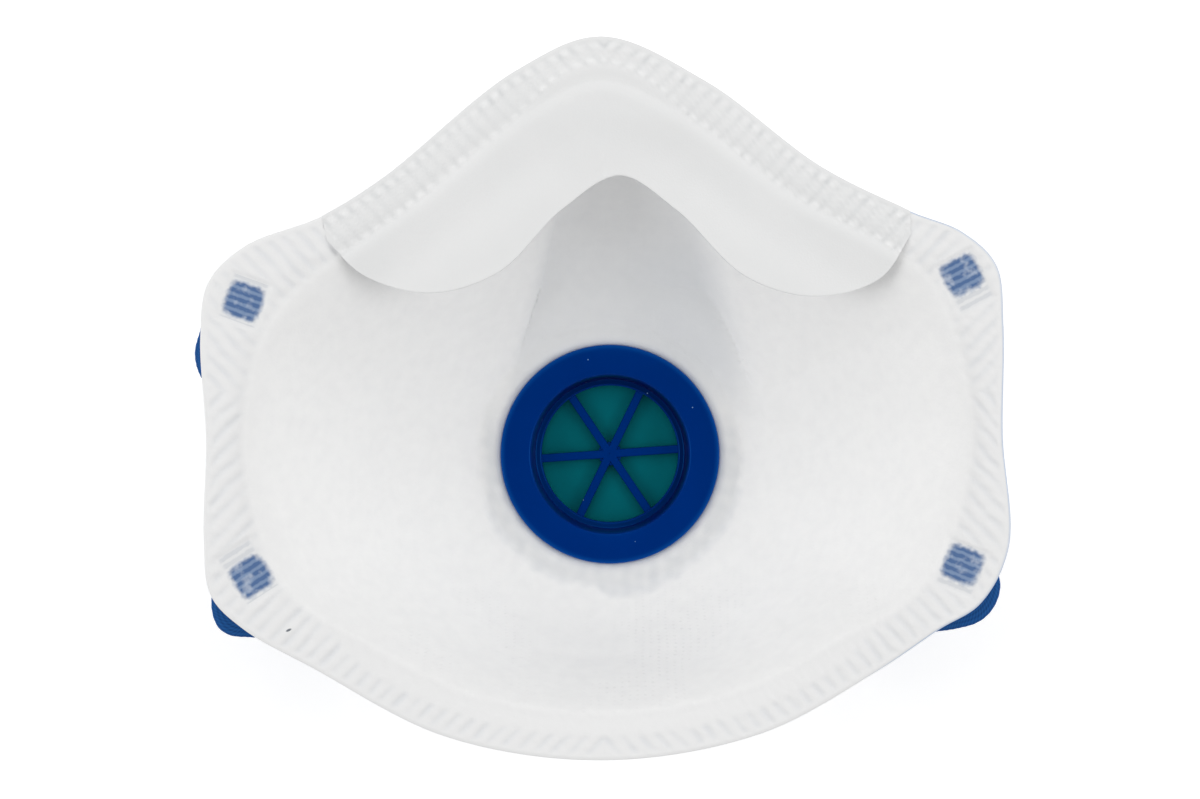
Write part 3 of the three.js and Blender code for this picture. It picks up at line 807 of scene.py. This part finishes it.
def bond_points(tree, place, flange):
    """The points where the fibres are fused: columns 1.45 mm apart of points 0.6 mm apart. They
    show in patches of the wall, most of them towards the chin, and not on the flange."""
    warp = add(tree, "TexNoise", {"Vector": place, "Scale": 60.0, "Detail": 1.0})
    swing = add(tree, "VectorMath", {0: warp.outputs["Color"], 1: (0.0016,) * 3}, operation="MULTIPLY")
    moved = add(tree, "VectorMath", {0: place, 1: swing.outputs[0]}, operation="ADD")
    at = add(tree, "SeparateXYZ", {"Vector": moved.outputs[0]})
    waves = []
    for axis, pitch in (("X", 1.45), ("Y", 0.6)):
        phase = add(tree, "Math", {0: at.outputs[axis], 1: 2 * math.pi / (pitch * MM)}, operation="MULTIPLY")
        waves.append(add(tree, "Math", {0: phase.outputs[0]}, operation="COSINE").outputs[0])
    both = add(tree, "Math", {0: waves[0], 1: waves[1]}, operation="ADD")
    dots = add(tree, "MapRange", {
        "Value": both.outputs[0], "From Min": 0.8, "From Max": 1.8,
    }, interpolation_type="SMOOTHSTEP")
    blurs = add(tree, "TexNoise", {"Vector": place, "Scale": 900.0, "Detail": 1.0})
    blur = add(tree, "MapRange", {"Value": blurs.outputs["Fac"], "From Min": 0.35, "From Max": 0.65})
    dots = add(tree, "Math", {0: dots.outputs[0], 1: blur.outputs[0]}, operation="MULTIPLY")
    patches = add(tree, "TexNoise", {"Vector": place, "Scale": 38.0, "Detail": 1.0})
    patch = add(tree, "MapRange", {
        "Value": patches.outputs["Fac"], "From Min": 0.48, "From Max": 0.66,
    }, interpolation_type="SMOOTHSTEP")
    places = add(tree, "SeparateXYZ", {"Vector": place})
    near_chin = add(tree, "MapRange", {
        "Value": places.outputs["Y"], "From Min": -22 * MM, "From Max": -33 * MM, "To Min": 0.2,
    })
    patch = add(tree, "Math", {0: patch.outputs[0], 1: near_chin.outputs[0]}, operation="MULTIPLY")
    on_wall = add(tree, "MapRange", {"Value": flange, "From Min": 0.6, "From Max": 0.0})
    shown = add(tree, "Math", {0: dots.outputs[0], 1: patch.outputs[0]}, operation="MULTIPLY")
    return add(tree, "Math", {0: shown.outputs[0], 1: on_wall.outputs[0]}, operation="MULTIPLY").outputs[0]


def add_weld_colour(tree, place, cloth):
    """Blue elastic seen through the pressed bars of a weld, paler between them and hidden by
    fibres here and there. Bars that miss the elastic are only grey."""
    at = add(tree, "SeparateXYZ", {
        "Vector": add(tree, "Attribute", attribute_name="weld_mm").outputs["Vector"],
    })
    reach = add(tree, "SeparateXYZ", {
        "Vector": add(tree, "Attribute", attribute_name="weld_reach").outputs["Vector"],
    })
    fray = add(tree, "TexNoise", {"Vector": place, "Scale": 1000.0, "Detail": 1.0})
    shift = add(tree, "MapRange", {"Value": fray.outputs["Fac"], "To Min": -0.14, "To Max": 0.14})
    # The field's corners are rounded: the fourth powers of both places are added.
    powers = []
    for axis, half in (("X", WELD_LENGTH / 2), ("Y", STRAP_WIDTH / 2 + 0.1)):
        part = add(tree, "Math", {0: at.outputs[axis], 1: half}, operation="DIVIDE")
        part = add(tree, "Math", {0: part.outputs[0]}, operation="ABSOLUTE")
        powers.append(add(tree, "Math", {0: part.outputs[0], 1: 4.0}, operation="POWER").outputs[0])
    length = add(tree, "MapRange", {
        "Value": powers[0], "From Min": 1.5, "From Max": 0.5,
    }, interpolation_type="SMOOTHSTEP")
    field = add(tree, "Math", {0: powers[0], 1: powers[1]}, operation="ADD")
    field = add(tree, "Math", {0: field.outputs[0], 1: 0.25}, operation="POWER")
    field = add(tree, "Math", {0: field.outputs[0], 1: shift.outputs[0]}, operation="ADD")
    in_field = add(tree, "MapRange", {
        "Value": field.outputs[0], "From Min": 1.22, "From Max": 0.84,
    }, interpolation_type="SMOOTHSTEP")
    swayed = add(tree, "Math", {0: shift.outputs[0], 1: 1.6}, operation="MULTIPLY")
    swayed = add(tree, "Math", {0: at.outputs["Y"], 1: swayed.outputs[0]}, operation="ADD")
    phase = add(tree, "Math", {0: swayed.outputs[0], 1: 2 * math.pi / WELD_BAR_PITCH}, operation="MULTIPLY")
    wave = add(tree, "Math", {0: phase.outputs[0]}, operation="COSINE")
    bars = add(tree, "MapRange", {
        "Value": wave.outputs[0], "From Min": -1.0, "From Max": 0.6,
    }, interpolation_type="SMOOTHSTEP")
    blue = add(tree, "Mix", {
        "Factor": bars.outputs[0], "A": colour("7D93B5"), "B": colour("526F9C"),
    }, data_type="RGBA")
    clumps = add(tree, "TexNoise", {"Vector": place, "Scale": 520.0, "Detail": 2.0})
    clump = add(tree, "MapRange", {
        "Value": clumps.outputs["Fac"], "From Min": 0.48, "From Max": 0.75,
    }, interpolation_type="SMOOTHSTEP")
    hidden = add(tree, "Math", {0: clump.outputs[0], 1: 0.6}, operation="MULTIPLY")
    veiled = add(tree, "Mix", {
        "Factor": hidden.outputs[0], "A": blue.outputs[2], "B": colour("C3CCDA"),
    }, data_type="RGBA")
    above_low = add(tree, "Math", {0: at.outputs["Y"], 1: reach.outputs["X"]}, operation="GREATER_THAN")
    below_high = add(tree, "Math", {0: at.outputs["Y"], 1: reach.outputs["Y"]}, operation="LESS_THAN")
    in_reach = add(tree, "Math", {0: above_low.outputs[0], 1: below_high.outputs[0]}, operation="MULTIPLY")
    grey_bars = add(tree, "Math", {0: bars.outputs[0], 1: in_reach.outputs[0]}, operation="MULTIPLY")
    grey_share = add(tree, "Math", {0: grey_bars.outputs[0], 1: length.outputs[0]}, operation="MULTIPLY")
    greyed = add(tree, "Mix", {
        "Factor": grey_share.outputs[0], "A": cloth, "B": colour("DADCDF"),
    }, data_type="RGBA")
    return add(tree, "Mix", {
        "Factor": in_field.outputs[0], "A": greyed.outputs[2], "B": veiled.outputs[2],
    }, data_type="RGBA").outputs[2]


# ---------------------------------------------------------------------------------------------
# Nose seal
# ---------------------------------------------------------------------------------------------


def tree_of(points):
    tree = KDTree(len(points))
    for i, point in enumerate(points):
        tree.insert((point[0], point[1], 0), i)
    tree.balance()
    return tree


def nearest(tree, x, y):
    """Index of and distance to the nearest of a tree's plan points."""
    found = [tree.find((a, b, 0)) for a, b in zip(x, y)]
    return np.array([f[1] for f in found]), np.array([f[2] for f in found])


def smoothed(grid, passes):
    """A grid of numbers, each pass averaged with its neighbours."""
    for _ in range(passes):
        wide = np.pad(grid, 1, mode="edge")
        grid = (wide[:-2, 1:-1] + wide[2:, 1:-1] + wide[1:-1, :-2] + wide[1:-1, 2:] + 2 * grid) / 6
    return grid


def seal_thickness(inside_mouth, from_end):
    """The pad is pressed thin in the crimp and at its two ends, and swells soon after."""
    plain = blend(SEAL_FLANGE_THICKNESS, SEAL_THICKNESS, rise(inside_mouth, -1.2, 2.2))
    return plain * blend(0.55, 1, rise(from_end, 0, 4.5))


def seal_relief(x, y, from_rim, inside_mouth):
    """How far the seal's crimp stands proud, how grey it is, partly pressed felt and partly painted shade between
    its ribs, and how much painted highlight its ribs get: a smooth strip along the edge, a row of round bumps,
    softer ribs and last a row of swollen rib ends."""
    ridge = 1 - groove_share(x, y)
    # The crimp is narrower over the nose than on the slopes beside it.
    reach = blend(4.6, 8.5, rise(np.abs(x + 1.6), 5, 24))
    past_crimp = np.maximum(inside_mouth, from_rim - reach)
    crimp = rise(from_rim, 0.4, 1.1) * (1 - rise(past_crimp, -0.2, 1.2))
    bumps = np.exp(-(((from_rim - 1.8) / 0.75) ** 2))
    ends = np.exp(-(((past_crimp + 0.1) / 0.6) ** 2))
    uneven = 0.75 + 0.3 * ripple(x, y, 5, 9)
    felted = ripple(x, y, 1.0, 12)
    ribs = ridge * uneven * (0.26 * bumps + 0.24 * ends + 0.06)
    height = crimp * (ribs + 0.035 * felted - 0.15)
    dish = -SEAL_DISH * np.exp(-(((inside_mouth - 8) / 4.5) ** 2))
    height = height + dish * rise(inside_mouth, 0, 4) + 0.02 * ripple(x, y, 7, 7)
    # The crimp's grey: partly the pressed felt's own, partly painted shade between the ribs.
    pressed = crimp * np.clip((1 - ridge) * uneven * (0.16 + 0.28 * bumps), 0, 1)
    # Painted highlights on the round bumps and the rib ends.
    rib_painted_highlight = np.clip(ridge * uneven * (0.3 * bumps + 0.5 * ends), 0, 1)
    return height, pressed, rib_painted_highlight


def nose_seal():
    """The seal: a soft pad crimped to the flange and hanging free over the mouth."""
    columns, rows = 480, 88
    form = CupForm(1536)
    flange = np.concatenate(form.rows()[:len(FLANGE_LEVELS)])
    is_mouth = np.repeat(np.array(FLANGE_LEVELS) == 1, len(form.around))
    span = list(RIM_STATIONS).index("waist_left") / len(RIM_STATIONS)
    share = np.concatenate([[0], np.linspace(0.0004, 0.9996, columns - 1), [1]])
    rim = curve_through(rim_columns("x", "y", "z"), blend(-span, span, share), closed=True)[:, :2]
    edge = curve_through(list(SEAL_EDGE.values()), share)
    step = np.append(np.linspace(0, 0.999, rows - 1), 1)
    across = step * (0.55 + 0.45 * step)
    plan = rim[:, None] + (edge - rim)[:, None] * across[None, :, None]
    x, y = plan[..., 0].ravel(), plan[..., 1].ravel()
    index, away = nearest(tree_of(flange), x, y)
    free = is_mouth[index] & (np.hypot(x, y) < np.hypot(*flange[index, :2].T))
    near_end = np.repeat(np.exp(-np.minimum(share, 1 - share) * SEAL_SPAN / SEAL_END_SAG), rows)
    hang = np.where(free, SEAL_HANG * away ** SEAL_HANG_POWER * (1 + 1.5 * near_end), 0)
    hang = hang + SEAL_NOSE_DROP * np.exp(-(((x - 1.6) / 13) ** 2)) * (1 - rise(y, 50, 63))
    bottom = (flange[index, 2] - hang).reshape(plan.shape[:2])
    bottom = smoothed(bottom, 12) + FLANGE_THICKNESS / 2 + SEAL_GAP
    from_rim = nearest(tree_of(form.rim), x, y)[1]
    inside_mouth = np.where(free, away, -nearest(tree_of(form.mouth), x, y)[1])
    from_end = np.repeat(np.minimum(share, 1 - share) * SEAL_SPAN, rows)
    bottom = bottom - SEAL_WELD_DEPTH * (1 - rise(from_end, 0, 4)).reshape(bottom.shape)
    thickness = seal_thickness(inside_mouth, from_end)
    relief, crimped, rib_painted_highlight = seal_relief(x, y, from_rim, inside_mouth)
    top = bottom + (thickness + relief).reshape(bottom.shape)
    back_rows = list(range(rows - 1, 0, -8)) + [0]
    front = np.dstack([plan, top])
    lower = np.dstack([plan, bottom])[:, back_rows]
    loop = np.concatenate([front, lower], axis=1)
    sides = loop.shape[1]
    faces = [(i * sides + (j + 1) % sides, (i + 1) * sides + (j + 1) % sides,
              (i + 1) * sides + j, i * sides + j) for i in range(columns) for j in range(sides)]
    faces.append(tuple(range(sides)))
    faces.append(tuple(columns * sides + j for j in reversed(range(sides))))
    # The crimp attribute carries the crimp's grey, partly painted shade, and painted highlights on the ribs.
    finish = np.stack([crimped, rib_painted_highlight, np.zeros(len(x))], axis=1).reshape(*bottom.shape, 3)
    plain = np.zeros((columns + 1, len(back_rows), 3))
    finish = np.concatenate([finish, plain], axis=1).reshape(-1, 3)
    piece = mesh_piece("nose_seal_pad", loop.reshape(-1, 3), faces, {"crimp": finish})
    piece.data.materials.append(needled_felt())
    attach(piece, "root")
    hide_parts("nose_seal")


def needled_felt():
    """Needled polyester felt: soft and quite matt, with a fine even grain."""
    material, tree, shader = new_material("needled_polyester_felt", Roughness=0.95,
                                          Specular_IOR_Level=0.3, Sheen_Weight=0.1)
    place = add(tree, "TexCoord").outputs["Object"]
    # The grain of cut fibre ends, about 0.35 mm apart.
    grain = add(tree, "TexNoise", {"Vector": place, "Scale": 2800.0, "Detail": 2.0})
    cloud = add(tree, "TexNoise", {"Vector": place, "Scale": 90.0, "Detail": 2.0})
    bump = add(tree, "Bump", {"Height": grain.outputs["Fac"], "Strength": 0.3, "Distance": 0.1 * MM})
    tint = add(tree, "Mix", {
        "Factor": cloud.outputs["Fac"], "A": colour("E8E9E9"), "B": colour("EEEEEE"),
    }, data_type="RGBA")
    crimp = add(tree, "SeparateXYZ", {
        "Vector": add(tree, "Attribute", attribute_name="crimp").outputs["Vector"],
    })
    # Grey where the felt is crimped: partly its own, partly painted shade between the ribs.
    pressed = add(tree, "Mix", {
        "Factor": crimp.outputs["X"], "A": tint.outputs[2], "B": colour("CBCED0"),
    }, data_type="RGBA")
    # Painted highlights on the crimp's bumps and rib ends.
    rib_painted_highlight = add(tree, "Mix", {
        "Factor": crimp.outputs["Y"], "A": pressed.outputs[2], "B": colour("FDFDFD"),
    }, data_type="RGBA")
    tree.links.new(rib_painted_highlight.outputs[2], shader.inputs["Base Color"])
    tree.links.new(bump.outputs[0], shader.inputs["Normal"])
    return material


# ---------------------------------------------------------------------------------------------
# Valve
# ---------------------------------------------------------------------------------------------


def start_piece():
    if bpy.context.mode != "OBJECT":
        bpy.ops.object.mode_set(mode="OBJECT")
    bpy.ops.object.select_all(action="DESELECT")


def turned(name, profile, steps, closed=True):
    """A turned piece: a ring is drawn up through the profile's radii and heights, in turn."""
    start_piece()
    radius, height = profile[0]
    bpy.ops.mesh.primitive_circle_add(vertices=steps, radius=radius * MM, location=(0, 0, height * MM))
    piece = bpy.context.object
    piece.name = name
    bpy.ops.object.transform_apply(location=True)
    bpy.ops.object.mode_set(mode="EDIT")
    bpy.ops.mesh.select_all(action="SELECT")
    ends = profile[1:] + (profile[:1] if closed else [])
    for next_radius, next_height in ends:
        rise_by = (0, 0, (next_height - height) * MM)
        grow = next_radius / radius
        bpy.ops.mesh.extrude_region_move(TRANSFORM_OT_translate={"value": rise_by})
        bpy.ops.transform.resize(value=(grow, grow, 1), center_override=(0, 0, next_height * MM))
        radius, height = next_radius, next_height
    bpy.ops.mesh.select_all(action="SELECT")
    bpy.ops.mesh.remove_doubles(threshold=0.001 * MM)
    bpy.ops.mesh.normals_make_consistent(inside=False)
    bpy.ops.object.mode_set(mode="OBJECT")
    return piece


def apply_modifier(piece, kind, **settings):
    modifier = piece.modifiers.new(kind.lower(), kind)
    for name, value in settings.items():
        setattr(modifier, name, value)
    bpy.context.view_layer.objects.active = piece
    bpy.ops.object.modifier_apply(modifier=modifier.name)


def round_corners(piece, width):
    """Rounds a moulded piece's corners as the mould's own edges are."""
    apply_modifier(piece, "BEVEL", width=width * MM, segments=3, limit_method="ANGLE",
                   angle_limit=math.radians(25))


def moulded_bar(name, size, middle, turn, corner):
    """One straight bar, bevelled and then turned about the valve's axis."""
    start_piece()
    bpy.ops.mesh.primitive_cube_add(size=1, location=[value * MM for value in middle])
    bar = bpy.context.object
    bar.name = name
    bar.scale = [value * MM for value in size]
    bpy.ops.object.transform_apply(location=True, scale=True)
    round_corners(bar, corner)
    bar.data.transform(Matrix.Rotation(turn, 4, "Z"))
    return bar


def combine(piece, others, operation):
    """Joins other solids to a piece, or cuts them out of it, and clears them away."""
    for other in others:
        apply_modifier(piece, "BOOLEAN", object=other, operation=operation, solver="EXACT")
        bpy.data.objects.remove(other)


def finish_moulding(piece, node, material, smooth_angle=30):
    bpy.ops.object.select_all(action="DESELECT")
    piece.select_set(True)
    bpy.context.view_layer.objects.active = piece
    bpy.ops.object.shade_smooth_by_angle(angle=math.radians(smooth_angle))
    piece.data.materials.clear()
    piece.data.materials.append(material)
    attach(piece, "root")
    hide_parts(node)


def valve_seat(material):
    """The seat: a ring with a dished port, six spokes and a small hub, moulded in one."""
    underside = PANEL_HEIGHT + PANEL_THICKNESS / 2 + 0.3
    seat = turned("valve_seat_ring", [
        (PORT_RADIUS, SLEEVE_END_HEIGHT), (SLEEVE_RADIUS, SLEEVE_END_HEIGHT),
        (SLEEVE_RADIUS, underside), (SEAT_RADIUS, underside), (SEAT_RADIUS, SEAT_FACE_HEIGHT),
        (SEAT_FACE_INNER_RADIUS, SEAT_FACE_HEIGHT), (LEDGE_OUTER_RADIUS, LEDGE_HEIGHT),
        (PORT_RADIUS, LEDGE_HEIGHT),
    ], 192)
    round_corners(seat, 0.4)
    length = PORT_RADIUS + 0.6
    middle = (length / 2, 0, SLEEVE_END_HEIGHT + SPOKE_HEIGHT / 2)
    bars = [moulded_bar("spoke", (length, SPOKE_WIDTH, SPOKE_HEIGHT), middle,
                        SPOKE_START_ANGLE + i * 2 * math.pi / SPOKE_COUNT, 0.25)
            for i in range(SPOKE_COUNT)]
    start_piece()
    bpy.ops.mesh.primitive_cylinder_add(
        vertices=6, radius=HUB_RADIUS * MM, depth=(SPOKE_HEIGHT - 0.4) * MM,
        location=(0, 0, (SLEEVE_END_HEIGHT + (SPOKE_HEIGHT - 0.4) / 2) * MM),
        rotation=(0, 0, SPOKE_START_ANGLE))
    hub = bpy.context.object
    bpy.ops.object.transform_apply(location=True, rotation=True)
    round_corners(hub, 0.2)
    combine(seat, bars + [hub], "UNION")
    finish_moulding(seat, "valve_seat", material)


def valve_diaphragm():
    """The diaphragm: a thin silicone disc, a little higher at its middle."""
    bottom = DIAPHRAGM_TOP - DIAPHRAGM_THICKNESS
    disc = turned("valve_flap", [
        (0.2, bottom), (DIAPHRAGM_RADIUS, bottom - 0.1), (DIAPHRAGM_RADIUS, DIAPHRAGM_TOP - 0.15),
        (DIAPHRAGM_RADIUS * 0.66, DIAPHRAGM_TOP - 0.06), (DIAPHRAGM_RADIUS * 0.33, DIAPHRAGM_TOP - 0.01),
        (0.2, DIAPHRAGM_TOP),
    ], 128)
    finish_moulding(disc, "valve_diaphragm", silicone_rubber())


def valve_cover(material):
    """The cover on the outside: a low drum with a chamfered front and a row of vents."""
    lip_inner = SLEEVE_RADIUS + 0.4
    inner = COVER_RADIUS - COVER_WALL
    flat = COVER_RADIUS - 2.4
    cover = turned("valve_cover_drum", [
        (0.2, 0), (flat, 0), (COVER_RADIUS, 2.4), (COVER_RADIUS, COVER_TOP_HEIGHT),
        (lip_inner, COVER_TOP_HEIGHT), (lip_inner, COVER_TOP_HEIGHT - 1.3),
        (inner, COVER_TOP_HEIGHT - 1.3), (inner, 3.15), (flat, COVER_WALL), (0.2, COVER_WALL),
    ], 144)
    round_corners(cover, 0.25)
    middle = (COVER_RADIUS - COVER_WALL / 2, 0, (VENT_LOW_HEIGHT + VENT_HIGH_HEIGHT) / 2)
    size = (3 * COVER_WALL, VENT_WIDTH, VENT_HIGH_HEIGHT - VENT_LOW_HEIGHT)
    vents = [moulded_bar("vent", size, middle, (i + 0.5) * 2 * math.pi / VENT_COUNT, 0.4)
             for i in range(VENT_COUNT)]
    combine(cover, vents, "DIFFERENCE")
    finish_moulding(cover, "valve_cover", material)


def moulded_polypropylene():
    """Moulded polypropylene: deep blue and waxy, so its soft gloss is blue too. Painted shade darkens it down the
    port's wall, most towards the nose, a painted highlight lightens the ring's outer rim, and a few pale specks of
    dust lie on it."""
    material, tree, shader = new_material(
        "moulded_polypropylene_blue", Roughness=0.3, IOR=1.49, Specular_IOR_Level=0.5,
        Specular_Tint=(0, 0.3, 1, 1))
    place = add(tree, "TexCoord").outputs["Object"]
    grain = add(tree, "TexNoise", {"Vector": place, "Scale": 5000.0, "Detail": 1.0})
    cloud = add(tree, "TexNoise", {"Vector": place, "Scale": 120.0, "Detail": 3.0})
    bump = add(tree, "Bump", {"Height": grain.outputs["Fac"], "Strength": 0.15, "Distance": 0.03 * MM})
    tint = add(tree, "Mix", {
        "Factor": cloud.outputs["Fac"], "A": colour("00226C"), "B": colour("002775"),
    }, data_type="RGBA")
    parts = add(tree, "SeparateXYZ", {"Vector": place})
    plan = add(tree, "CombineXYZ", {"X": parts.outputs["X"], "Y": parts.outputs["Y"]})
    radius = add(tree, "VectorMath", {0: plan.outputs[0]}, operation="LENGTH")
    outside = add(tree, "MapRange", {
        "Value": radius.outputs["Value"], "From Min": 13.42 * MM, "From Max": 13.7 * MM,
    })
    # Painted shade down the port's wall, darker with depth and darker towards the nose.
    deep = add(tree, "MapRange", {
        "Value": parts.outputs["Z"], "From Min": (SEAT_FACE_HEIGHT - 0.5) * MM, "From Max": 11.5 * MM,
    })
    inner = add(tree, "MapRange", {
        "Value": radius.outputs["Value"], "From Min": 16 * MM, "From Max": 15.6 * MM,
    })
    port = add(tree, "Math", {0: outside.outputs[0], 1: deep.outputs[0]}, operation="MULTIPLY")
    port = add(tree, "Math", {0: port.outputs[0], 1: inner.outputs[0]}, operation="MULTIPLY")
    over_port = add(tree, "VectorMath", {0: plan.outputs[0], 1: (0.7, 0.7, 0)}, operation="DOT_PRODUCT")
    towards_nose = add(tree, "MapRange", {
        "Value": over_port.outputs["Value"], "From Min": -10 * MM, "From Max": 7 * MM,
    })
    port_painted_shade = add(tree, "Mix", {
        "Factor": towards_nose.outputs[0], "A": colour("001C5C"), "B": colour("000946"),
    }, data_type="RGBA")
    shaded = add(tree, "Mix", {
        "Factor": port.outputs[0], "A": tint.outputs[2], "B": port_painted_shade.outputs[2],
    }, data_type="RGBA")
    # A painted highlight along the ring's rounded outer rim.
    rim = add(tree, "MapRange", {
        "Value": radius.outputs["Value"], "From Min": 20.0 * MM, "From Max": 21.3 * MM, "To Max": 0.85,
    }, interpolation_type="SMOOTHSTEP")
    rim_painted_highlight = add(tree, "Mix", {
        "Factor": rim.outputs[0], "A": shaded.outputs[2], "B": colour("0A4796"),
    }, data_type="RGBA")
    dust = add(tree, "TexVoronoi", {"Vector": place, "Scale": 210.0})
    speck = add(tree, "MapRange", {"Value": dust.outputs["Distance"], "From Min": 0.035, "From Max": 0.015})
    dusted = add(tree, "Mix", {
        "Factor": speck.outputs[0], "A": rim_painted_highlight.outputs[2], "B": colour("7FA0C8"),
    }, data_type="RGBA")
    tree.links.new(dusted.outputs[2], shader.inputs["Base Color"])
    tree.links.new(bump.outputs[0], shader.inputs["Normal"])
    return material


def silicone_rubber():
    """Silicone rubber: blue-green, smooth and slightly bloomed, so softly shiny."""
    material, tree, shader = new_material("silicone_rubber_green", Roughness=0.5, IOR=1.41,
                                          Specular_IOR_Level=0.04)
    place = add(tree, "TexCoord").outputs["Object"]
    cloud = add(tree, "TexNoise", {"Vector": place, "Scale": 150.0, "Detail": 3.0})
    tint = add(tree, "Mix", {
        "Factor": cloud.outputs["Fac"], "A": colour("00666D"), "B": colour("006F79"),
    }, data_type="RGBA")
    tree.links.new(tint.outputs[2], shader.inputs["Base Color"])
    return material


add_camera()
strap("strap_upper_elastic", STRAP_UPPER_ROUTE, "strap_upper")
strap("strap_lower_elastic", STRAP_LOWER_ROUTE, "strap_lower")
moulded_cup()
nose_seal()
blue = moulded_polypropylene()
valve_seat(blue)
valve_diaphragm()
valve_cover(blue)
add_studio()
